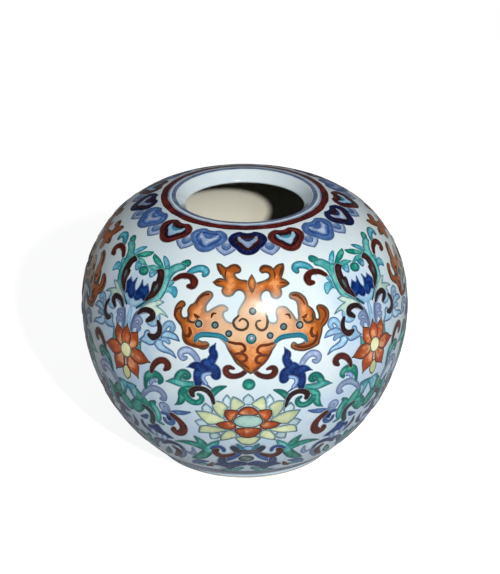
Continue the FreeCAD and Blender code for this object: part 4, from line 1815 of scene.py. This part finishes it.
@dataclass
class Scrolls:
    """The scrolls, leaves and curls that fill one half of a panel."""

    panel: Panel

    def upper_right(self) -> list[list[Mark]]:
        """The marks above the belly, drawn from the half to the right of the bat."""
        stem = [
            Stroke(Paint.TURQUOISE, (
                (24.4, 21.4, 0.8), (23.6, 20, 1.3), (22.3, 18.8, 1.7), (20.3, 18, 1.9), (18.4, 18, 1.9),
                (17.3, 18.8, 1.7), (17.7, 19.6, 1.3),
            )),
            Patch(Paint.MINT, (
                (25.9, 17.9), (27.5, 17.6), (29.2, 17.9), (30.6, 18.7), (31.6, 19.6), (32.4, 21.4),
                (31.6, 23.4), (30, 23.8), (29.7, 22.4), (28.9, 20.8), (27.4, 19.7), (25.7, 18.9),
            )),
            Patch(Paint.MINT, (
                (31, 20.4), (32.6, 20.2), (33.4, 20.8), (32.3, 22.4), (31.9, 25), (32.2, 27.2), (33.2, 29.2),
                (34.6, 30.6), (36.2, 31.9, 0), (34, 31.8), (32.2, 30.8), (30.8, 28.6), (30.1, 26.2),
                (30.1, 23.4),
            )),
            Stroke(Paint.MINT, ((35.8, 43.6, 0.4), (36.4, 45, 1.6), (35.6, 46.9, 0.4))),
        ]
        knob = Stroke(Paint.GREEN, ((26.8, 17.6, 1.9), (25.7, 17, 2.1)))
        shapes = (
            (Paint.TURQUOISE, (
                (32.4, 31, 0), (31.2, 29), (30.6, 28.4), (29.4, 27.1), (27.9, 27.4), (26.6, 28.3),
                (25.8, 27.7), (25.8, 26), (26.9, 24.8), (29, 24.9), (30.8, 26), (31.8, 28.2),
            )),
            (Paint.TURQUOISE, (
                (27.6, 22.2, 0), (28.4, 22.8), (30, 23.2), (31.2, 24.4), (30.4, 25.4), (28.8, 25), (27.9, 24),
            )),
            (Paint.TURQUOISE, (
                (35.9, 21.8), (39.2, 21.8), (38.9, 23.4), (37.9, 24.4), (36.7, 23.9), (36, 22.9),
            )),
            (Paint.MINT, (
                (34.3, 21), (36, 20.4), (38.5, 20.2), (40, 20.7), (42, 21.6, 0), (40.5, 21.9), (39, 21.9),
                (36, 21.9),
            )),
            (Paint.GREEN, (
                (33, 21), (34.4, 19.6), (36.5, 18.2), (38.5, 17.4), (41.4, 16.8, 0), (41, 18.2), (39.5, 19.2),
                (38, 19.9), (36, 20.4), (34.6, 21.2),
            )),
            (Paint.TURQUOISE, (
                (31, 20.8), (31.8, 19.1), (32.8, 18), (34, 17.1), (35.5, 16.5), (36.8, 16.4, 0), (36.3, 17.4),
                (35.2, 18.6), (33.9, 19.8), (32.6, 21.2),
            )),
        )
        leaves = [[Patch(paint, places, False)] for paint, places in shapes]
        # A pale streak in the turquoise curl: a painted highlight
        painted_highlight = [Stroke(Paint.FROST, ((37, 23, 0.5), (37.3, 23.3, 1.1), (37.8, 23.4, 0.5)), False)]
        hooks = [
            Stroke(Paint.BROWN, (
                (28, 22.6, 1), (26.3, 21.4, 1.3), (24.2, 20.9, 1.4), (22.2, 21.1, 1.5), (20.8, 22.3, 2),
                (21.1, 23.6, 1.9), (22.3, 23.9, 1.1),
            )),
            Patch(Paint.DARK, (
                (36, 21.6, 0), (34.9, 21), (33.9, 20.9), (32.9, 21.8), (32.3, 23.4), (32.1, 25.4),
                (32.4, 27.2), (33.4, 29), (34.8, 30.2), (36.5, 31.6, 0), (36.4, 30.4), (35.6, 28.9),
                (35.4, 27.6), (35.6, 26), (35.4, 25.1), (34.7, 25), (34.6, 24), (34.9, 22.6),
            )),
        ]
        grey = [Stroke(Paint.SPOT, ((33.7, 25.6, 0.5), (33.9, 26.6, 1), (34.2, 27.8, 0.4)), False)]
        pale = [
            Stroke(Paint.FROST, (
                (30.8, 34.8, 1.4), (31, 36.2, 1.8), (32.2, 37.1, 1.5), (33.6, 37.2, 1), (34.4, 36.6, 0.6),
            )),
            Patch(Paint.LEAF, (
                (29.8, 30.2, 0), (31.5, 30), (33, 30.7), (35.3, 31.8), (37, 33.2), (38.3, 34.8, 0),
                (36.4, 34), (34, 33.6), (32.4, 34.2), (31.5, 35.4), (30.6, 35), (30.2, 33.8), (29, 33.7),
                (27.3, 34.2, 0), (29, 33), (31, 32.2), (32.2, 31.9), (31.2, 31.4),
            )),
        ]
        bulbs = [
            Stroke(Paint.FROST, (
                (29.8, 41.4, 0.8), (28.6, 39, 1.3), (28, 37.4, 1.4), (27.2, 36.2, 1.5), (26, 35.9, 1.6),
                (25.2, 36.8, 1.5), (25.6, 37.8, 1),
            )),
            Patch(Paint.FROST, (
                (22.8, 40.2, 0), (23.8, 38.8), (25.6, 38.2), (27.2, 38.3), (28.6, 39.4), (28.4, 40.6),
                (26.8, 40), (25.2, 40),
            )),
            Stroke(Paint.FROST, ((28.6, 41, 1), (27.2, 40.6, 1.2), (26.2, 41.2, 1))),
            Patch(Paint.FROST, (
                (23.5, 45.4, 0), (24.6, 43.9), (26.4, 43.1), (27.8, 42.4), (28.4, 41.2), (30.4, 41.6),
                (30.6, 42.8), (29.4, 44), (27.6, 44.5), (25.4, 44.6),
            )),
            Patch(Paint.FROST, (
                (30.2, 41.4), (31.4, 41.4), (32.4, 40.4), (33.2, 39.4), (34.3, 39.9), (34.6, 41.2),
                (36, 42.8, 0), (34.3, 43.2), (32.1, 43.4), (30.7, 42.6),
            )),
        ]
        curls = [
            Stroke(Paint.DARK, (
                (38, 35.5, 0.6), (36.5, 34.1, 1.1), (34.6, 33.7, 1.3), (33, 34.1, 1.5), (32.5, 35.2, 1.5),
                (33.4, 36, 1.3), (34.2, 36.7, 0.8),
            )),
            Stroke(Paint.DARK, (
                (30.3, 36.2, 0.8), (29.5, 37.6, 1.2), (29.5, 39.2, 1.3), (30.4, 40.5, 1.4), (31.6, 41, 1.6),
                (32.8, 40.7, 1),
            )),
        ]
        return [*leaves, [knob], stem, painted_highlight, pale, *([mark] for mark in bulbs), curls, hooks, grey]

    def middle_right(self) -> list[list[Mark]]:
        """The marks about the belly, from the right half."""
        red = [Stroke(Paint.BROWN, (
            (31.6, 51.2, 0.9), (31, 49.5, 1.3), (29.8, 48, 1.5), (28.3, 47.1, 1.6), (26.8, 47.1, 1.8),
            (26, 48, 1.9), (26.3, 48.9, 1.5), (26.9, 49.5, 0.8),
        ))]
        green = [Stroke(Paint.GREEN, (
            (34.2, 57, 0.9), (33.9, 54.7, 1.3), (32.8, 52.9, 2.3), (31, 51.9, 2.3), (29.3, 52, 2.1),
            (28.5, 53, 1.7), (29, 54, 1),
        ))]
        sky = [Stroke(Paint.SKY, ((30.5, 53.9, 0.7), (31.4, 53.9, 0.9), (32.2, 55, 0.9)))]
        lilac = [Stroke(Paint.LILAC, (
            (36, 60.4, 1), (34.6, 58.6, 1.5), (33, 57.2, 1.7), (30.8, 56.4, 1.8), (28.8, 56.8, 1.8),
            (27.9, 58, 1.7), (28.1, 59.2, 1.4), (29, 59.4, 0.8),
        ))]
        return [lilac, green, sky, red]

    @staticmethod
    def repeated(marks: list[Mark]) -> list[Mark]:
        """The marks as the painter repeated them on the left, nearer in and a little lower."""

        def rule(x: float, down: float) -> tuple[float, float]:
            """The place on the left for one on the right."""
            top = 0.045 * max(0.0, 32 - down)
            belly = 0.08 * max(0.0, min(down, 60) - 45)
            return 1.7 - x, down + top + belly

        return moved(marks, rule)

    def lower(self) -> list[list[Mark]]:
        """The marks under the belly, for both halves."""
        lilac = [
            Stroke(Paint.LILAC, (
                (25.4, 63.8, 0.8), (26, 62.8, 1.3), (27.2, 62.7, 1.5), (27.8, 63.6, 1.5), (27.2, 64.7, 1.3),
                (25.8, 65, 0.8),
            )),
            Stroke(Paint.HAZE, ((18.3, 63.5, 0.3), (20.5, 64.2, 1.3), (22.6, 64.6, 1.5), (24.8, 65.2, 1))),
        ]
        blue = [
            Stroke(Paint.HAZE, (
                (28.8, 66.4, 0.8), (26.6, 66.2, 1.2), (25, 67.4, 1.2), (24.8, 69, 1.3), (26, 70.2, 1.3),
                (27.4, 69.8, 1.2), (27.7, 68.6, 1),
            )),
            Stroke(Paint.NAVY, ((26.6, 66.8, 0.6), (26, 67.8, 1.9), (26.2, 68.6, 0.8)), False),
        ]
        red = [Stroke(Paint.BROWN, (
            (24.4, 65.9, 1.5), (22.6, 67.4, 1.7), (21.4, 69.4, 2.1), (21.5, 71.6, 2.2), (22.8, 73.2, 2.3),
            (24.2, 73.6, 2.3), (25.1, 72.6, 2), (24.9, 71.8, 1.2),
        ))]
        green = [
            Stroke(Paint.GREEN, ((32.4, 64.6, 1.4), (31, 63.4, 1.7), (30.2, 62.6, 0.8))),
            Stroke(Paint.MINT, (
                (31, 63.8, 1.6), (30, 66, 1.9), (30, 68.4, 1.9), (30.6, 70.6, 1.2), (29, 71.4, 0.5),
            )),
            Stroke(Paint.GREEN, ((37.2, 60.4, 1.8), (35.4, 62.8, 3), (33.4, 64.8, 2.4), (32, 66.6, 1.4))),
            Patch(Paint.TURQUOISE, (
                (36.7, 59, 0), (38.6, 58.8), (41.2, 59.1, 0), (40.5, 60.6), (39.5, 62.4), (38.6, 64),
                (37.4, 63.4), (37, 61.4),
            )),
            Patch(Paint.GREEN, (
                (35.2, 64.4), (37.5, 64.1), (39.5, 65.2), (40.7, 67.2), (40.7, 68.8), (39.5, 69.9),
                (37.9, 69.6), (36.4, 68.4), (35, 66.6),
            )),
            Stroke(Paint.MINT, ((36.6, 65.9, 0.5), (38, 66.6, 1.4), (38.8, 67.8, 0.5)), False),
            Stroke(Paint.AQUA, ((37.4, 60.4, 0.8), (37.8, 61.6, 1.1), (37.4, 62.8, 0.5)), False),
        ]
        dark = [
            Stroke(Paint.MOSS, (
                (35.1, 65.8, 1.2), (33.2, 66.6, 1.6), (32.3, 68, 1.6), (32.5, 70, 1.6), (33.5, 72.2, 1.4),
            )),
            Stroke(Paint.HAZE, ((34.6, 69.6, 0.6), (36, 70.8, 1.4), (37.6, 71.2, 0.6))),
        ]
        flower = [Patch(Paint.COBALT, (
            (26.8, 77.3, 0), (28.6, 75.9), (30.2, 74.6), (31.2, 72.6), (32.8, 72.7), (34.2, 73.8), (36, 74.4),
            (36.2, 76), (34.4, 76.8), (32.8, 76.6), (31.2, 77), (29.2, 77.8),
        ))]
        pearls = [
            Stroke(Paint.SKY, ((34.9, 76.4, 1.6), (34.9, 77.2, 2.3), (34.9, 78, 1.6))),
            Stroke(Paint.SKY, ((30.2, 77.6, 1.2), (30.8, 78.5, 1.8), (31.2, 79.4, 1))),
        ]
        stem = [
            Stroke(Paint.SLATE, ((24.4, 81.6, 0.8), (25, 84.6, 1.4), (26.8, 87.4, 1.4), (29.6, 90.2, 0.8))),
            Stroke(Paint.INK, (
                (24.8, 82.6, 1), (25.6, 80.9, 1.5), (28, 80.2, 1.8), (30.8, 80.8, 1.6), (33.4, 82.4, 1.2),
            )),
            Stroke(Paint.INK, ((34.6, 78.6, 1), (37.2, 77.8, 1.4), (38.8, 75.6, 1.5), (38.6, 73.4, 0.6))),
            Stroke(Paint.STONE, ((32, 80.4, 1), (35.4, 81.4, 1.6), (38, 84.4, 1.6), (39.8, 88, 1))),
            Stroke(Paint.LILAC, ((20.2, 80.6, 0.6), (20.4, 82.8, 1.2), (21.8, 84.4, 1.2), (23.2, 83.8, 0.8))),
        ]
        foot_leaves = [
            Stroke(Paint.HAZE, ((16.4, 88, 0.6), (19, 88.6, 2), (21.6, 90, 2.2), (24, 92, 0.8))),
            Stroke(Paint.MINT, ((17, 90.6, 0.4), (19.4, 91, 1.4), (21.6, 91.8, 0.4))),
            Stroke(Paint.GREEN, ((31.6, 84.4, 0.4), (32.6, 86.4, 1.8), (34, 88.2, 1.8), (36.2, 90.2, 0.3))),
            Stroke(Paint.GREEN, ((38.8, 80.4, 1), (40, 82.6, 2), (39.4, 85, 1.8), (37.8, 86, 0.6))),
        ]
        brown = [
            Stroke(Paint.DARK, (
                (28.4, 82.6, 1), (27.2, 84, 1.6), (27.6, 85.8, 1.7), (29.2, 87.6, 1.4), (31.2, 89.4, 0.6),
            )),
            Stroke(Paint.BROWN, ((14.2, 88.6, 0.5), (15.4, 90.4, 1.3), (17, 91.4, 1))),
        ]
        return [lilac, blue, stem, green, foot_leaves, flower, pearls, dark, brown, red]

    def build(self) -> None:
        """Paint both halves as a piece above the belly and one below, on each side."""
        above = self.upper_right() + self.middle_right()
        for side in ("right", "left"):
            for part, groups in (("upper", above), ("lower", self.lower())):
                work = Brushwork(f"{part}_scrolls_{self.panel.name}_{side}", self.panel.lay)
                for marks in groups:
                    if side == "left":
                        marks = self.repeated(marks) if part == "upper" else mirrored(marks)
                    work.draw(marks)
                work.finish()


# The studio


@dataclass
class Studio:
    """The floor, the room's light, the lamp and the camera."""

    camera_place: tuple[float, float, float] = (0.0, -0.5381, 0.3070)
    aim: tuple[float, float, float] = (0.0, 0.0, 0.0415)
    lens: float = 121.6
    shift: tuple[float, float] = (0.0092, 0.0503)
    floor_reach: float = 3.0
    floor_sides: int = 96
    floor_grey: float = 0.5
    floor_glow: float = 0.88
    floor_glow_in_gloss: float = 0.08
    room_light: float = 0.17
    room_light_in_gloss: float = 0.05
    key_azimuth: float = 15.2
    key_elevation: float = 30.6
    key_away: float = 0.62
    key_size: float = 0.034
    key_watts: float = 3.45

    def floor(self) -> None:
        """Lay a wide pale floor that turns up softly far behind the pot."""
        section = [(0.0, 0.0), (0.5, 0.0), (self.floor_reach, 0.0)]
        for index in range(1, 9):
            turn = math.radians(index * 10)
            section.append((self.floor_reach + math.sin(turn), 1 - math.cos(turn)))
        sides = self.floor_sides
        angles = [index * 2 * math.pi / sides for index in range(sides)]
        corners = [(0.0, 0.0, 0.0)]
        faces = []
        for reach, height in section[1:]:
            corners += [(reach * math.sin(turn), -reach * math.cos(turn), height) for turn in angles]
        for step in range(sides):
            after = (step + 1) % sides
            faces.append((0, 1 + step, 1 + after))
            for ring in range(len(section) - 2):
                here = 1 + ring * sides
                there = here + sides
                faces.append((here + step, there + step, there + after, here + after))
        mesh = bpy.data.meshes.new("studio_floor")
        mesh.from_pydata(corners, [], faces)
        mesh.polygons.foreach_set("use_smooth", [True] * len(mesh.polygons))
        mesh.materials.append(self.paper())
        piece = bpy.data.objects.new("studio_floor", mesh)
        bpy.context.scene.collection.objects.link(piece)

    def paper(self) -> bpy.types.Material:
        """The floor's white paper, which keeps the shadow and shows white to the camera."""
        made, sheet, shader = open_material("white_paper")
        grey = (self.floor_grey, self.floor_grey, self.floor_grey, 1.0)
        sheet.preset(shader, {"Base Color": grey, "Emission Color": WHITE})
        sheet.preset(shader, {"Roughness": 0.9, "Specular IOR Level": 0.1})
        path = sheet.add("ShaderNodeLightPath")
        gloss = sheet.math("MULTIPLY", path.outputs["Is Glossy Ray"], self.floor_glow_in_gloss)
        seen = sheet.math("ADD", path.outputs["Is Camera Ray"], gloss)
        seen = sheet.math("ADD", seen, path.outputs["Is Transmission Ray"])
        sheet.feed(shader.inputs["Emission Strength"], sheet.math("MULTIPLY", seen, self.floor_glow))
        return made

    def lamp(self) -> None:
        """Hang the round lamp that faces the pot."""
        light = bpy.data.lights.new("key_lamp", "AREA")
        light.shape = "DISK"
        light.size = self.key_size
        light.energy = self.key_watts
        lamp = bpy.data.objects.new("key_lamp", light)
        turn = math.radians(self.key_azimuth)
        rise = math.radians(self.key_elevation)
        out = Vector((math.cos(rise) * math.sin(turn), -math.cos(rise) * math.cos(turn), math.sin(rise)))
        lamp.location = Vector(self.aim) + out * self.key_away
        lamp.rotation_euler = out.to_track_quat("Z", "Y").to_euler()
        bpy.context.scene.collection.objects.link(lamp)

    def camera(self) -> None:
        """Set up the camera of the photograph's view."""
        lens = bpy.data.cameras.new("camera")
        lens.lens = self.lens
        lens.sensor_width = 36.0
        lens.sensor_fit = "AUTO"
        lens.shift_x, lens.shift_y = self.shift
        lens.clip_start = 0.01
        camera = bpy.data.objects.new("camera", lens)
        camera.location = self.camera_place
        towards = Vector(self.aim) - Vector(self.camera_place)
        camera.rotation_euler = towards.to_track_quat("-Z", "Y").to_euler()
        bpy.context.scene.collection.objects.link(camera)
        bpy.context.scene.camera = camera

    def surround(self) -> None:
        """Light the room dimly and evenly."""
        world = bpy.data.worlds.new("room")
        world.use_nodes = True
        ground = world.node_tree.nodes["Background"]
        ground.inputs["Color"].default_value = (0.93, 0.96, 1.0, 1.0)
        sheet = NodeSheet(world.node_tree)
        path = sheet.add("ShaderNodeLightPath")
        gloss = path.outputs["Is Glossy Ray"]
        strength = sheet.spread(gloss, 0.0, 1.0, to_low=self.room_light, to_high=self.room_light_in_gloss)
        sheet.feed(ground.inputs["Strength"], strength)
        bpy.context.scene.world = world

    def build(self) -> None:
        """Set up the studio."""
        self.floor()
        self.surround()
        self.lamp()
        self.camera()
        bpy.context.scene.view_settings.view_transform = "Standard"


def main() -> None:
    """Build the pot, paint it and set up its studio."""
    logging.basicConfig(level=logging.INFO, format="%(message)s")
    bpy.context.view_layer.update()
    GlazedBody().build()
    PaintedRings().build()
    RuyiCollar().build()
    for panel in PANELS:
        LowerLotus(panel).build()
        BlueBlossoms(panel).build()
        Scrolls(panel).build()
        UpperLotus(panel).build()
        Bat(panel).build()
    Studio().build()


if __name__ == "__main__":
    main()
